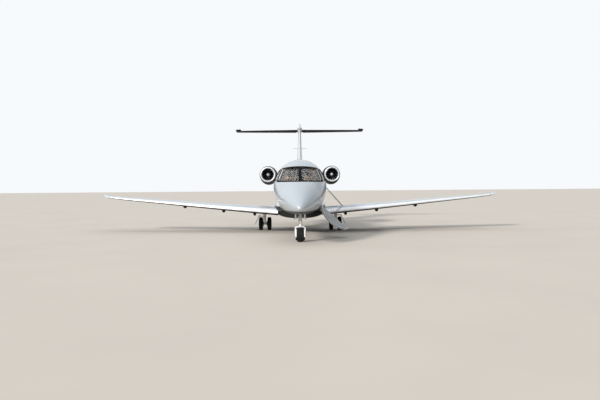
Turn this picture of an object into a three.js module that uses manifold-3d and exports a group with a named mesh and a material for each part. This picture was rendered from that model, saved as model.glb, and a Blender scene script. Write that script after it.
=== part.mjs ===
// A twin-engined business jet, parked on its wheels with its forward airstair open.
//
// Millimetres, +Z up, the nose towards -Y and the left side of the aircraft at +X. The origin is on
// the ground, below the middle of the length and the span. Along the fuselage, places are given as
// stations: the distance behind the nose tip.

import * as THREE from "three";
import { mergeVertices } from "three/addons/utils/BufferGeometryUtils.js";
import Module from "manifold-3d";

const wasm = await Module();
wasm.setup();

// Driving dimensions of the whole aircraft
const LENGTH = 16850;
const FIN_TOP = 5400;
const TOUCH = 0.3; // what two pieces that rest on each other keep between them
const CLEAR = 5; // what a moving panel keeps from its frame
const station = (distance) => distance - LENGTH / 2;

// Fuselage lines, smoothed by straight steps between these sections
const FUSELAGE = [
  // station, bottom, top, height of the widest place, half width, power of the oval
  [0, 1155, 1199, 1177, 22, 2.0],
  [60, 1093, 1292, 1190, 112, 2.0],
  [200, 1053, 1420, 1215, 215, 2.0],
  [450, 1026, 1598, 1268, 345, 2.05],
  [800, 998, 1792, 1340, 480, 2.1],
  [1150, 970, 1930, 1400, 590, 2.15],
  [1420, 951, 2030, 1450, 665, 2.2],
  [1750, 936, 2265, 1510, 748, 2.2],
  [2100, 923, 2485, 1590, 815, 2.15],
  [2500, 913, 2660, 1680, 872, 2.1],
  [2950, 905, 2775, 1780, 915, 2.05],
  [3450, 900, 2820, 1860, 934, 2.0],
  [10200, 900, 2820, 1860, 934, 2.0],
  [11000, 962, 2820, 1892, 905, 2.0],
  [11900, 1112, 2816, 1962, 830, 2.0],
  [12800, 1330, 2803, 2066, 715, 2.0],
  [13700, 1590, 2778, 2186, 570, 2.0],
  [14600, 1880, 2738, 2310, 395, 2.0],
  [15300, 2110, 2690, 2402, 240, 2.0],
  [15750, 2270, 2630, 2450, 115, 2.0],
];
const FUSELAGE_SIDES = 32;
const WALL = 90; // outer skin to cabin trim
const FLOOR = 1200; // height of the cabin floor
const BAY_ROOF = FLOOR - 35; // roof of the nose gear bay
const EAVES = 2500; // height where the side panels meet the roof panel

// Stations where the fuselage is split
const NOSE_JOINT = 800;
const COCKPIT_BULKHEAD = 1560;
const COCKPIT_END = 3450;
const STAIR_DOOR_END = 4250;
const CARGO_DOOR_START = 8950;
const CABIN_END = 10200;
const TAIL_END = 15750;
const BULKHEAD = 60;
const AFT_SKIN = 36;

// Windows
const WINDSCREEN = { post: 42, foot: 2040, footHalf: 763, head: 2457, headHalf: 592, crown: 2505 };
const SIDE_WINDOW = [
  [2400, 2062],
  [3130, 2062],
  [3180, 2130],
  [3060, 2400],
  [2960, 2445],
  [2750, 2445],
];
const PANE = { outer: 14, inner: 44 }; // depths below the skin
const CABIN_WINDOW = { width: 340, height: 460, corner: 110, middle: 2075, first: 3900, pitch: 850 };
const LEDGE = { low: 150, high: 90, reach: 16, past: 60 }; // the rail inside that joins one side's panes
const LEFT_WINDOWS = [1, 2, 3, 4, 5];
const RIGHT_WINDOWS = [0, 1, 2, 3, 4, 5];

// Belly fairing around the wing root
const FAIRING = [
  // station, bottom, top, half width
  [5000, 930, 1150, 420],
  [5500, 795, 1260, 620],
  [6000, 660, 1350, 820],
  [6400, 590, 1390, 960],
  [7200, 555, 1420, 1065],
  [8700, 560, 1410, 1070],
  [9400, 650, 1330, 960],
  [9900, 780, 1230, 720],
  [10350, 900, 1120, 460],
];
const FAIRING_POWER = 2.5;
const FAIRING_SIDES = 24;

// Wing, one row for each section from root to tip
const WING = [
  // span, leading edge station, chord, height, thickness share
  [700, 6126, 2514, 814, 0.135],
  [3200, 6680, 2030, 1015, 0.13],
  [5560, 7205, 1560, 1225, 0.125],
  [8000, 7745, 1075, 1450, 0.115],
  [8330, 7860, 930, 1488, 0.11],
  [8500, 8060, 640, 1570, 0.1],
];
const AILERON = { from: 5580, to: 7860, hinge: 0.74 };
const FLAP = { from: 1120, to: 5540, hinge: 0.77 };
const FLAP_TRACKS = [1970, 3330, 5040];
// Half sizes of their fairings where the wing's chord is 2270, and how far they hang below its skin
const TRACK = { share: 0.78, wide: 62, long: 560, deep: 140, drop: 105, chord: 2270 };

// Tail
const FIN = [
  // height, leading edge station, chord, thickness share
  [2560, 11880, 3660, 0.075],
  [2820, 12150, 3480, 0.078],
  [5010, 14450, 1920, 0.085],
];
const FIN_CAP = [
  [5060, 14780, 1420, 0.1],
  [5330, 14960, 1200, 0.09],
  [FIN_TOP, 15060, 1040, 0.06],
];
const DORSAL = [
  [10900, 2800],
  [12700, 2740],
  [12900, 3500],
  [12350, 3080],
  [11600, 2925],
];
const RUDDER = { foot: [2960, 14755], head: [4880, 15725], gap: 16, footGap: 24, headGap: 34 };
const TAILPLANE = [
  // span, leading edge station, chord, thickness share
  [0, 14950, 1540, 0.095],
  [3262, 15400, 905, 0.095],
  [3520, 15450, 830, 0.09],
  [3570, 15560, 640, 0.08],
];
const TAIL_HEIGHT = 5060; // height of the elevators' hinge line
const TAIL_TRIM = 5; // how far the tailplane is turned about that line, its leading edge down
const ELEVATOR = { hinge: 15950, inner: 190, horn: 3270, droop: 10 };
const BULLET = { nose: 14200, tail: LENGTH, radius: 150, widest: 0.3 };
const CONTROL_PIN = 8; // radius of the stub pins that carry the control surfaces
const BORE = { wider: 0.6, deeper: 1 }; // what their bores have over them, round and at each end

// Engines
const ENGINE = { x: 1517, z: 2475, lip: 10300, length: 2860, bulge: 0.15 };
const COWL = [
  // distance behind the lip, radius: round the lip, back along the outside, forward along the duct
  [0, 322],
  [22, 350],
  [90, 371],
  [300, 400],
  [700, 416],
  [1500, 414],
  [2150, 378],
  [2860, 300],
  [2860, 288],
  [1700, 300],
  [400, 288],
  [110, 281],
  [25, 298],
];
const COWL_OUTSIDE = 8; // how many of those rows are the outside
const FAN = { nose: 190, face: 380, depth: 120, hub: 92 };
const FAN_BLADE = { count: 16, root: 70, tip: 270, thick: 9, pitch: 42 };
const CORE = [
  // distance behind the lip, radius of the engine block and its exhaust cone
  [560, 0],
  [560, 150],
  [700, 205],
  [1900, 215],
  [2500, 170],
  [2800, 90],
  [2960, 20],
  [2960, 0],
];
const CORE_STRUTS = 6;
const PYLON = { lead: 10720, chord: 2000, thickness: 0.085 };

// Landing gear
const NOSE_GEAR = { station: 2050, trail: 60, tyre: 234, width: 118, chine: 158, bore: 108 };
const MAIN_GEAR = { x: 1528, station: 8200, tyre: 280, width: 84, bore: 128, spacing: 184 };
const WHEEL_SIDES = 24;
const AXLE = 28;

// Airstair: its hinge line, how far it has swung open and where its handrails pivot
const STAIR = { x: 705, z: 1190, swing: 133, skin: 60, cheek: 20, chord: 655 };
const STAIR_POST = { foot: [460, -400], head: [827, -35] };
const STAIR_RAIL = { end: [160, 720] };
const CARGO_DOOR = { x: 722, z: 2512, skin: 85 };

const PAINT = new THREE.MeshStandardMaterial({ color: 0xd9dfe6, roughness: 0.28, metalness: 0.35 });
const TRIM = new THREE.MeshStandardMaterial({ color: 0x22262b, roughness: 0.5, metalness: 0.1 });
const BRIGHT = new THREE.MeshStandardMaterial({ color: 0xc8ccd0, roughness: 0.18, metalness: 1.0 });
const DARK_METAL = new THREE.MeshStandardMaterial({ color: 0x3b3c3f, roughness: 0.4, metalness: 0.9 });
const GEAR_PAINT = new THREE.MeshStandardMaterial({ color: 0xe6e6e2, roughness: 0.4, metalness: 0.1 });
const RUBBER = new THREE.MeshStandardMaterial({ color: 0x16171a, roughness: 0.8, metalness: 0.0 });
const GLAZING = new THREE.MeshStandardMaterial({ color: 0x30353a, roughness: 0.05, metalness: 0.0 });
const LEATHER = new THREE.MeshStandardMaterial({ color: 0xcbb79c, roughness: 0.55, metalness: 0.0 });

// Solids

function solid(geometry) {
  const loose = geometry.index ? geometry.toNonIndexed() : geometry.clone();
  const bare = new THREE.BufferGeometry().setAttribute("position", loose.getAttribute("position"));
  const merged = mergeVertices(bare, 1e-3);
  const index = merged.index.array;
  const kept = [];
  for (let i = 0; i < index.length; i += 3) {
    const [a, b, c] = [index[i], index[i + 1], index[i + 2]];
    if (a !== b && b !== c && c !== a) kept.push(a, b, c);
  }
  const vertProperties = merged.attributes.position.array;
  const closed = (order) =>
    new wasm.Manifold(new wasm.Mesh({ numProp: 3, vertProperties, triVerts: new Uint32Array(order) }));
  const made = closed(kept);
  return made.volume() < 0 ? closed(kept.reverse()) : made;
}

function geometryOf(made) {
  const mesh = made.getMesh();
  return new THREE.BufferGeometry()
    .setAttribute("position", new THREE.BufferAttribute(new Float32Array(mesh.vertProperties), 3))
    .setIndex(new THREE.BufferAttribute(new Uint32Array(mesh.triVerts), 1));
}

function meshOf(name, made, material) {
  const mesh = new THREE.Mesh(geometryOf(made), material);
  mesh.name = name;
  return mesh;
}

const joined = (solids) => solids.reduce((whole, next) => whole.add(next));
const mirrored = (made) => made.mirror([1, 0, 0]);

// A closed skin through rings that have the same number of points, with flat ends.
function loft(rings) {
  const around = rings[0].length;
  const points = rings.flat();
  const index = [];
  for (let r = 0; r + 1 < rings.length; r++) {
    for (let i = 0; i < around; i++) {
      const a = r * around + i;
      const b = r * around + ((i + 1) % around);
      index.push(a, b, a + around, b, b + around, a + around);
    }
  }
  const cap = (ring, first, forward) => {
    const size = new THREE.Box3().setFromPoints(ring).getSize(new THREE.Vector3());
    const least = Math.min(size.x, size.y, size.z);
    const [u, v] = least === size.x ? ["y", "z"] : least === size.y ? ["x", "z"] : ["x", "y"];
    const flat = ring.map((p) => new THREE.Vector2(p[u], p[v]));
    const turn = Math.sign(THREE.ShapeUtils.area(flat));
    for (const face of THREE.ShapeUtils.triangulateShape(flat, [])) {
      const same = Math.sign(THREE.ShapeUtils.area(face.map((k) => flat[k]))) === turn;
      const order = same === forward ? face : [face[2], face[1], face[0]];
      index.push(...order.map((k) => first + k));
    }
  };
  cap(rings[0], 0, false);
  cap(rings[rings.length - 1], points.length - around, true);
  return solid(new THREE.BufferGeometry().setFromPoints(points).setIndex(index));
}

function box(x0, x1, y0, y1, z0, z1) {
  const geometry = new THREE.BoxGeometry(x1 - x0, y1 - y0, z1 - z0);
  return solid(geometry.translate((x0 + x1) / 2, (y0 + y1) / 2, (z0 + z1) / 2));
}

function rod(from, to, radius, sides = 10) {
  const [a, b] = [new THREE.Vector3(...from), new THREE.Vector3(...to)];
  const along = b.clone().sub(a);
  const geometry = new THREE.CylinderGeometry(radius, radius, along.length(), sides);
  const turn = new THREE.Quaternion().setFromUnitVectors(new THREE.Vector3(0, 1, 0), along.normalize());
  return solid(geometry.applyQuaternion(turn).translate(...a.add(b).multiplyScalar(0.5).toArray()));
}

const shapeOf = (points) => new THREE.Shape(points.map(([u, v]) => new THREE.Vector2(u, v)));

const PLAIN = { bevelEnabled: false, curveSegments: 4 };

// An outline in the front view, of x and z, carried along Y.
function frontPrism(shape, y0, y1) {
  const geometry = new THREE.ExtrudeGeometry(shape, { ...PLAIN, depth: y1 - y0 });
  return solid(geometry.rotateX(Math.PI / 2).translate(0, y1, 0));
}

// An outline in the side view, of y and z, carried along X.
function sidePrism(shape, x0, x1) {
  const geometry = new THREE.ExtrudeGeometry(shape, { ...PLAIN, depth: x1 - x0, curveSegments: 2 });
  const turn = new THREE.Matrix4().set(0, 0, 1, 0, 1, 0, 0, 0, 0, 1, 0, 0, 0, 0, 0, 1);
  return solid(geometry.applyMatrix4(turn).translate(x0, 0, 0));
}

// An outline in plan, of x and y, carried along Z.
function planPrism(shape, z0, z1) {
  const geometry = new THREE.ExtrudeGeometry(shape, { ...PLAIN, depth: z1 - z0 });
  return solid(geometry.translate(0, 0, z0));
}

// A profile of distance along Y and radius, turned about the Y axis.
function turnedY(profile, sides) {
  const points = profile.map(([along, radius]) => new THREE.Vector2(radius, along));
  return solid(new THREE.LatheGeometry(points, sides));
}

// A profile of distance along X and radius, turned about the X axis, with a flat underneath.
function turnedX(profile, sides) {
  const points = profile.map(([along, radius]) => new THREE.Vector2(radius, -along));
  const geometry = new THREE.LatheGeometry(points, sides, Math.PI / sides);
  return solid(geometry.rotateZ(Math.PI / 2));
}

// Fuselage

function ovalRing(y, bottom, top, widest, half, power, sides) {
  const ring = [];
  for (let i = 0; i < sides; i++) {
    const angle = (2 * Math.PI * (i + 0.5)) / sides;
    const [c, s] = [Math.cos(angle), Math.sin(angle)];
    const rise = s > 0 ? top - widest : widest - bottom;
    const x = half * Math.sign(c) * Math.abs(c) ** (2 / power);
    const z = widest + rise * Math.sign(s) * Math.abs(s) ** (2 / power);
    ring.push(new THREE.Vector3(x, y, z));
  }
  return ring;
}

function sectionAt(place) {
  const next = Math.max(1, FUSELAGE.findIndex((row) => row[0] >= place));
  const [a, b] = [FUSELAGE[next - 1], FUSELAGE[next]];
  const share = (place - a[0]) / (b[0] - a[0]);
  return a.map((value, i) => value + share * (b[i] - value));
}

// The fuselage between two stations, as a solid that lies `inset` inside the skin.
function fuselage(from, to, inset = 0, sides = FUSELAGE_SIDES) {
  const between = FUSELAGE.filter((row) => row[0] > from + 1 && row[0] < to - 1);
  const rows = [sectionAt(from), ...between, sectionAt(to)];
  return loft(
    rows.map(([place, bottom, top, widest, half, power]) =>
      ovalRing(station(place), bottom + inset, top - inset, widest, half - inset, power, sides),
    ),
  );
}

const FAR = 20000;
const above = (z) => box(-FAR, FAR, -FAR, FAR, z, FAR);
const below = (z) => box(-FAR, FAR, -FAR, FAR, -FAR, z);
const leftOf = (x) => box(x, FAR, -FAR, FAR, -FAR, FAR);
const rightOf = (x) => box(-FAR, x, -FAR, FAR, -FAR, FAR);

function windscreenOutline(side, inset) {
  const w = WINDSCREEN;
  const shape = new THREE.Shape();
  shape.moveTo(side * (w.post + inset), w.foot + inset);
  shape.lineTo(side * (w.footHalf - 1.6 * inset), w.foot + inset);
  shape.lineTo(side * (w.headHalf - inset), w.head - inset);
  shape.quadraticCurveTo(side * w.headHalf * 0.55, w.crown - inset, side * (w.post + inset), w.crown - inset);
  return shape;
}

function windscreenPrism(side, inset) {
  const outline = [
    [0, 1200],
    [1000, 1200],
    [1000, 1764],
    [533, 2800],
    [0, 2800],
  ];
  const ahead = planPrism(shapeOf(outline.map(([x, s]) => [side * x, station(s - 2 * inset)])), 1900, 2600);
  return frontPrism(windscreenOutline(side, inset), station(1200), station(2800)).intersect(ahead);
}

function sideWindowPrism(side, inset) {
  const [cy, cz] = [2770, 2250];
  const shrink = (value, middle) => value + inset * Math.sign(middle - value);
  const outline = SIDE_WINDOW.map(([s, z]) => [station(shrink(s, cy)), shrink(z, cz)]);
  return sidePrism(shapeOf(outline), side > 0 ? 350 : -1200, side > 0 ? 1200 : -350);
}

function cabinWindowPrism(number, side, inset) {
  const w = CABIN_WINDOW;
  const middle = station(w.first + number * w.pitch);
  const [halfY, halfZ] = [w.width / 2 - inset, w.height / 2 - inset];
  const corner = w.corner - inset;
  const shape = new THREE.Shape();
  const quarter = Math.PI / 2;
  const corners = [
    [1, 1, 0],
    [-1, 1, 1],
    [-1, -1, 2],
    [1, -1, 3],
  ];
  for (const [u, v, q] of corners) {
    const cy = middle + u * (halfY - corner);
    const cz = w.middle + v * (halfZ - corner);
    shape.absarc(cy, cz, corner, q * quarter, (q + 1) * quarter, false);
  }
  return sidePrism(shape, side > 0 ? 500 : -1200, side > 0 ? 1200 : -500);
}

function noseCone() {
  return fuselage(0, NOSE_JOINT - TOUCH);
}

function cockpitFloorPan() {
  const bay = box(-175, 175, station(1180), station(2330), 0, BAY_ROOF);
  return fuselage(NOSE_JOINT, COCKPIT_END - TOUCH).intersect(below(FLOOR - TOUCH)).subtract(bay);
}

function cockpitShell() {
  const whole = fuselage(NOSE_JOINT, COCKPIT_END - TOUCH).intersect(above(FLOOR));
  let shell = whole.subtract(fuselage(COCKPIT_BULKHEAD, COCKPIT_END + 10, WALL - 5));
  for (const side of [1, -1]) {
    shell = shell.subtract(windscreenPrism(side, 0)).subtract(sideWindowPrism(side, 0));
  }
  return joined([shell, ...stairEyePins(COCKPIT_END - 10, COCKPIT_END + 13)]);
}

function paneSkin() {
  return fuselage(1200, COCKPIT_END, PANE.outer).subtract(fuselage(1190, COCKPIT_END + 10, PANE.inner));
}

const barrelShell = (inset) =>
  fuselage(COCKPIT_END, CABIN_END).subtract(fuselage(COCKPIT_END - 10, CABIN_END + 10, inset));

const stations = (from, to) => box(-FAR, FAR, station(from), station(to), -FAR, FAR);

function cabinFloorPan() {
  const pan = fuselage(COCKPIT_END, CABIN_END - TOUCH).intersect(below(FLOOR - TOUCH));
  return joined([pan, ...hingeCarriers(STAIR, STAIR_HINGES, 600, -1)]);
}

function sidePanel(side, from, to, windows) {
  const half = side > 0 ? leftOf(0) : rightOf(0);
  const sheet = barrelShell(WALL).intersect(half).intersect(above(FLOOR)).intersect(below(EAVES - TOUCH));
  const cut = sheet.intersect(stations(from, to - TOUCH));
  const pins = side > 0 ? stairEyePins(from - 13, from + 10) : [];
  return joined([windows.reduce((panel, n) => panel.subtract(cabinWindowPrism(n, side, 0)), cut), ...pins]);
}

function roofPanel() {
  const sheet = barrelShell(WALL).intersect(above(EAVES)).intersect(stations(COCKPIT_END, CABIN_END - TOUCH));
  return joined([sheet, ...hingeCarriers(CARGO_DOOR, CARGO_HINGES, 640, 1)]);
}

// The panes of one side, each as deep as the wall, with the ledge inside that carries them.
function cabinWindows(side, windows) {
  const half = side > 0 ? leftOf(0) : rightOf(0);
  const skin = fuselage(COCKPIT_END, CABIN_END, PANE.outer);
  const wall = skin.subtract(fuselage(COCKPIT_END - 10, CABIN_END + 10, WALL + LEDGE.reach - 2));
  const panes = windows.map((n) => wall.intersect(cabinWindowPrism(n, side, TOUCH)));
  const w = CABIN_WINDOW;
  const centre = (n) => w.first + n * w.pitch;
  const [front, rear] = [centre(windows[0]) - LEDGE.past, centre(windows[windows.length - 1]) + LEDGE.past];
  const ledge = fuselage(COCKPIT_END, CABIN_END, WALL + TOUCH)
    .subtract(fuselage(COCKPIT_END - 10, CABIN_END + 10, WALL + LEDGE.reach))
    .intersect(box(-FAR, FAR, station(front), station(rear), w.middle - LEDGE.low, w.middle - LEDGE.high));
  return joined([ledge.intersect(half), ...panes.map((pane) => pane.intersect(half))]);
}

// The rear fuselage is a shell behind the pressure bulkhead, open where the tail light goes.
function aftFuselage() {
  const hollow = fuselage(CABIN_END + BULKHEAD, TAIL_END + 5, AFT_SKIN, FUSELAGE_SIDES / 2);
  return fuselage(CABIN_END, TAIL_END).subtract(hollow);
}

function fairingBody(outset) {
  return loft(
    FAIRING.map(([place, bottom, top, half]) => {
      const [low, high, wide] = [bottom - outset, top + outset, half + outset];
      return ovalRing(station(place), low, high, (bottom + top) / 2, wide, FAIRING_POWER, FAIRING_SIDES);
    }),
  );
}

function bellyFairing() {
  return fairingBody(0).subtract(fuselage(4800, 10800, -0.4));
}

// Wings and tail surfaces

const UP = new THREE.Vector3(0, 0, 1);
const ACROSS = new THREE.Vector3(1, 0, 0);
const SURFACE_POINTS = 7;

// Half the thickness of a wing section at a share of its chord.
function halfThickness(share, thickness) {
  const s = share;
  const curve = 0.2969 * Math.sqrt(s) - 0.126 * s - 0.3516 * s ** 2 + 0.2843 * s ** 3 - 0.1036 * s ** 4;
  return 5 * thickness * curve;
}

const CAMBER = 0.018;
const EDGE = 3; // half the thickness of a trailing edge
const camberOf = (share, camber) => 4 * camber * share * (1 - share);

// A point on a section: the leading edge, then back along the chord and out along its thickness.
function surfacePoint(section, share, side) {
  const { lead, chord, thickness, camber, out } = section;
  const height =
    camberOf(share, camber) * chord + side * (halfThickness(share, thickness) * chord + EDGE * share);
  return lead.clone().add(new THREE.Vector3(0, share * chord, 0)).addScaledVector(out, height);
}

function wholeRing(section) {
  const ring = [];
  for (let i = 0; i <= SURFACE_POINTS; i++) {
    ring.push(surfacePoint(section, 0.5 * (1 + Math.cos((Math.PI * i) / SURFACE_POINTS)), 1));
  }
  for (let i = SURFACE_POINTS - 1; i >= 0; i--) {
    ring.push(surfacePoint(section, 0.5 * (1 + Math.cos((Math.PI * i) / SURFACE_POINTS)), -1));
  }
  return ring;
}

function hingePoint(section, share) {
  return surfacePoint(section, share, 1).add(surfacePoint(section, share, -1)).multiplyScalar(0.5);
}

const NOSE_STEPS = 4;

// The nose of a control surface: half a circle round its hinge, from its upper to its lower side.
function noseArc(section, share, extra) {
  const middle = hingePoint(section, share);
  const radius = surfacePoint(section, share, 1).distanceTo(middle) + extra;
  const arc = [];
  for (let i = 0; i <= NOSE_STEPS; i++) {
    const angle = (Math.PI * i) / NOSE_STEPS;
    arc.push(
      middle
        .clone()
        .addScaledVector(section.out, radius * Math.cos(angle))
        .add(new THREE.Vector3(0, -radius * Math.sin(angle), 0)),
    );
  }
  return arc;
}

// The part of a section behind its hinge, with a round nose.
function flapRing(section, share) {
  const steps = [1, 0.9, 0.6, 0.3].map((k) => share + k * (1 - share));
  const upper = steps.map((s) => surfacePoint(section, s, 1));
  const lower = steps.map((s) => surfacePoint(section, s, -1)).reverse();
  return [...upper, ...noseArc(section, share, 0), ...lower];
}

// What is cut from a wing so that such a part fits there, with a gap round its nose.
function coveRing(section, share, gap) {
  const reach = 300;
  const arc = noseArc(section, share, gap);
  const corner = (point, back, height) =>
    point.clone().add(new THREE.Vector3(0, back, 0)).addScaledVector(section.out, height);
  const behind = section.chord * (1 - share) + reach;
  const last = arc[arc.length - 1];
  return [
    corner(arc[0], behind, reach),
    corner(arc[0], 0, reach),
    ...arc,
    corner(last, 0, -reach),
    corner(last, behind, -reach),
  ];
}

function tableRow(table, place) {
  const next = Math.min(table.length - 1, Math.max(1, table.findIndex((row) => row[0] >= place)));
  const [a, b] = [table[next - 1], table[next]];
  const share = (place - a[0]) / (b[0] - a[0]);
  return a.map((value, i) => value + share * (b[i] - value));
}

function rowsBetween(table, from, to) {
  const inside = table.filter((row) => row[0] > from + 1 && row[0] < to - 1);
  return [tableRow(table, from), ...inside, tableRow(table, to)];
}

const wingSection = ([x, lead, chord, z, thickness]) => ({
  lead: new THREE.Vector3(x, station(lead), z),
  chord,
  thickness,
  camber: CAMBER,
  out: UP,
});
const tailSection = ([x, lead, chord, thickness]) => ({
  lead: new THREE.Vector3(x, station(lead), TAIL_HEIGHT),
  chord,
  thickness,
  camber: 0,
  out: UP,
});
const finSection = ([z, lead, chord, thickness]) => ({
  lead: new THREE.Vector3(0, station(lead), z),
  chord,
  thickness,
  camber: 0,
  out: ACROSS,
});

const AILERON_GAP = 8;
const AILERON_END = 16;

function wingHinge(place, share) {
  return hingePoint(wingSection(tableRow(WING, place)), share);
}

function trackFairing(x, size) {
  const section = wingSection(tableRow(WING, x));
  const middle = surfacePoint(section, TRACK.share, -1);
  const share = section.chord / TRACK.chord;
  const geometry = new THREE.SphereGeometry(1, 8, 6).rotateX(Math.PI / 2);
  geometry.scale(TRACK.wide * size, TRACK.long * share * size, TRACK.deep * share * size);
  return solid(geometry.translate(middle.x, middle.y, middle.z - TRACK.drop * share));
}

// A stub pin in line with a hinge, and the bore that takes it.
function hingePin(from, to, radius) {
  const direction = to.clone().sub(from).normalize();
  return (start, length) => {
    const a = from.clone().addScaledVector(direction, start);
    return rod(a.toArray(), a.clone().addScaledVector(direction, length).toArray(), radius, 16);
  };
}

// A row of a section table grown by an outset, along its chord and across it.
const grownRow = (row, chordAt, thicknessAt, outset) =>
  row.map((value, i) => {
    if (i === 1) return value - 3 * outset;
    if (i === chordAt) return value + 6 * outset;
    return i === thicknessAt ? value + (2 * outset) / row[chordAt] : value;
  });

function wingBlade(outset = 0) {
  return loft(WING.map((row) => wholeRing(wingSection(grownRow(row, 2, 4, outset)))));
}

function wing() {
  const blade = wingBlade();
  const cove = (part, gap, end) => {
    const rows = rowsBetween(WING, part.from - end, part.to + end);
    return loft(rows.map((row) => coveRing(wingSection(row), part.hinge, gap)));
  };
  const pins = aileronPins(CONTROL_PIN);
  const tracks = FLAP_TRACKS.map((x) => trackFairing(x, 1));
  const cut = blade.subtract(cove(AILERON, AILERON_GAP, AILERON_END)).subtract(cove(FLAP, TOUCH, TOUCH));
  const root = fairingBody(0.6);
  return joined([cut, ...tracks, ...pins]).subtract(root).subtract(mirrored(root));
}

function aileronPins(radius, deeper = 0) {
  const [a, b] = [wingHinge(AILERON.from, AILERON.hinge), wingHinge(AILERON.to, AILERON.hinge)];
  const [outside, inside] = [AILERON_END + 12, 32 + deeper];
  const pin = hingePin(a, b, radius);
  return [pin(-outside, outside + inside), pin(a.distanceTo(b) - inside, outside + inside)];
}

function aileron() {
  const rows = rowsBetween(WING, AILERON.from, AILERON.to);
  const blade = loft(rows.map((row) => flapRing(wingSection(row), AILERON.hinge)));
  const bores = aileronPins(CONTROL_PIN + BORE.wider, BORE.deeper);
  return bores.reduce((part, bore) => part.subtract(bore), blade);
}

function flap() {
  const rows = rowsBetween(WING, FLAP.from, FLAP.to);
  const blade = loft(rows.map((r) => flapRing(wingSection(r), FLAP.hinge)));
  return FLAP_TRACKS.reduce((part, x) => part.subtract(trackFairing(x, 1.012)), blade);
}

function rudderLine() {
  const point = ([z, s]) => new THREE.Vector3(0, station(s), z);
  return [point(RUDDER.foot), point(RUDDER.head)];
}

function rudderShare(z) {
  const [foot, head] = rudderLine();
  const y = foot.y + ((z - foot.z) / (head.z - foot.z)) * (head.y - foot.y);
  const [, lead, chord] = tableRow(FIN, z);
  return (y - station(lead)) / chord;
}

function rudderPins(radius, deeper = 0) {
  const [foot, head] = rudderLine();
  const pin = hingePin(foot, head, radius);
  return [pin(-45, 90 + deeper), pin(foot.distanceTo(head) - 15 - deeper, 80 + deeper)];
}

function fin() {
  const blade = loft(FIN.map((row) => wholeRing(finSection(row))));
  const rows = rowsBetween(FIN, RUDDER.foot[0] - RUDDER.footGap, 5010);
  const cove = loft(rows.map((r) => coveRing(finSection(r), rudderShare(r[0]), RUDDER.gap)));
  const dorsal = sidePrism(shapeOf(DORSAL.map(([s, z]) => [station(s), z])), -45, 45);
  const root = FIN_CAP[0][0] - 55;
  const aboveRudder = loft(
    rowsBetween(FIN, RUDDER.head[0] + RUDDER.headGap, 5010).map((r) => wholeRing(finSection(r))),
  );
  const aerial = box(-368, 368, station(14010), station(14075), 3925, 3935);
  const whole = joined([blade.subtract(cove), aboveRudder, dorsal, aerial, ...rudderPins(CONTROL_PIN)]);
  return whole
    .intersect(below(root))
    .subtract(fuselage(10500, TAIL_END, -0.4))
    .subtract(bulletBody(0.4))
    .subtract(trimmed(tailplaneBlade(0.4)));
}

function rudder() {
  const rows = rowsBetween(FIN, RUDDER.foot[0], RUDDER.head[0]);
  const blade = loft(rows.map((r) => flapRing(finSection(r), rudderShare(r[0]))));
  const bores = rudderPins(CONTROL_PIN + BORE.wider, BORE.deeper);
  return bores.reduce((part, bore) => part.subtract(bore), blade);
}

const elevatorShare = ([, lead, chord]) => (ELEVATOR.hinge - lead) / chord;

function tailplaneBlade(outset = 0) {
  const rows = rowsBetween(TAILPLANE, 0, ELEVATOR.horn - 8);
  const half = loft(rows.map((row) => wholeRing(tailSection(grownRow(row, 2, 3, outset)))));
  return half.add(mirrored(half));
}

// Turns what belongs to the tailplane to its parked trim.
function trimmed(made) {
  const [y, z] = [station(ELEVATOR.hinge), TAIL_HEIGHT];
  return made.translate([0, -y, -z]).rotate([TAIL_TRIM, 0, 0]).translate([0, y, z]);
}

function tailplane() {
  const rows = rowsBetween(TAILPLANE, ELEVATOR.inner - 12, ELEVATOR.horn + 10);
  const cove = loft(rows.map((row) => coveRing(tailSection(row), elevatorShare(row), 8)));
  const { horn, inner, hinge } = ELEVATOR;
  const [y, z] = [station(hinge), TAIL_HEIGHT];
  const outerPin = elevatorPin(horn - 60, horn + HORN_PIN);
  const arm = box(horn - 70, horn - 8, y - 250, y, z - 20, z + 20).intersect(tailplaneBlade());
  const cut = tailplaneBlade().subtract(cove).subtract(mirrored(cove));
  const carriers = joined([outerPin, arm, elevatorPin(inner - 50, inner + 60)]);
  return trimmed(joined([cut, carriers, mirrored(carriers)]));
}

const HORN_PIN = 45; // how far the outer pin reaches into the horn

function elevatorPin(from, to, extra = 0) {
  const [y, z] = [station(ELEVATOR.hinge), TAIL_HEIGHT];
  return rod([from, y, z], [to, y, z], CONTROL_PIN + extra, 16);
}

// One elevator half, in place and undrooped, with the horn that is its outer end.
function elevatorBlade() {
  const rows = rowsBetween(TAILPLANE, ELEVATOR.inner, ELEVATOR.horn + 1);
  const blade = loft(rows.map((row) => flapRing(tailSection(row), elevatorShare(row))));
  const horn = loft(rowsBetween(TAILPLANE, ELEVATOR.horn, 3570).map((row) => wholeRing(tailSection(row))));
  const { horn: end, inner, hinge } = ELEVATOR;
  const [y, z] = [station(hinge), TAIL_HEIGHT];
  const notch = box(end - 80, end, y - 350, y + 14, z - 160, z + 140);
  const bores = [
    elevatorPin(end - 61, end + HORN_PIN + BORE.deeper, BORE.wider),
    elevatorPin(inner - 90, inner + 60 + BORE.deeper, BORE.wider),
  ];
  return bores.reduce((part, bore) => part.subtract(bore), blade.subtract(notch).add(horn));
}

function bulletBody(outset) {
  const { nose, tail, radius } = BULLET;
  const long = tail - nose;
  const profile = [0, 0.02, 0.07, 0.16, 0.3, 0.5, 0.68, 0.84, 0.95, 1].map((share) => {
    const ahead = Math.max(0, (BULLET.widest - share) / BULLET.widest);
    const behind = Math.max(0, (share - BULLET.widest) / (1 - BULLET.widest));
    const fullness = Math.sqrt(1 - ahead ** 2) - behind ** 2.4;
    const ends = share === 0 || share === 1;
    return [station(nose + share * long), ends ? 0 : Math.max(10, radius * fullness) + outset];
  });
  return turnedY(profile, 14).translate([0, 0, TAIL_HEIGHT]);
}

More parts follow.
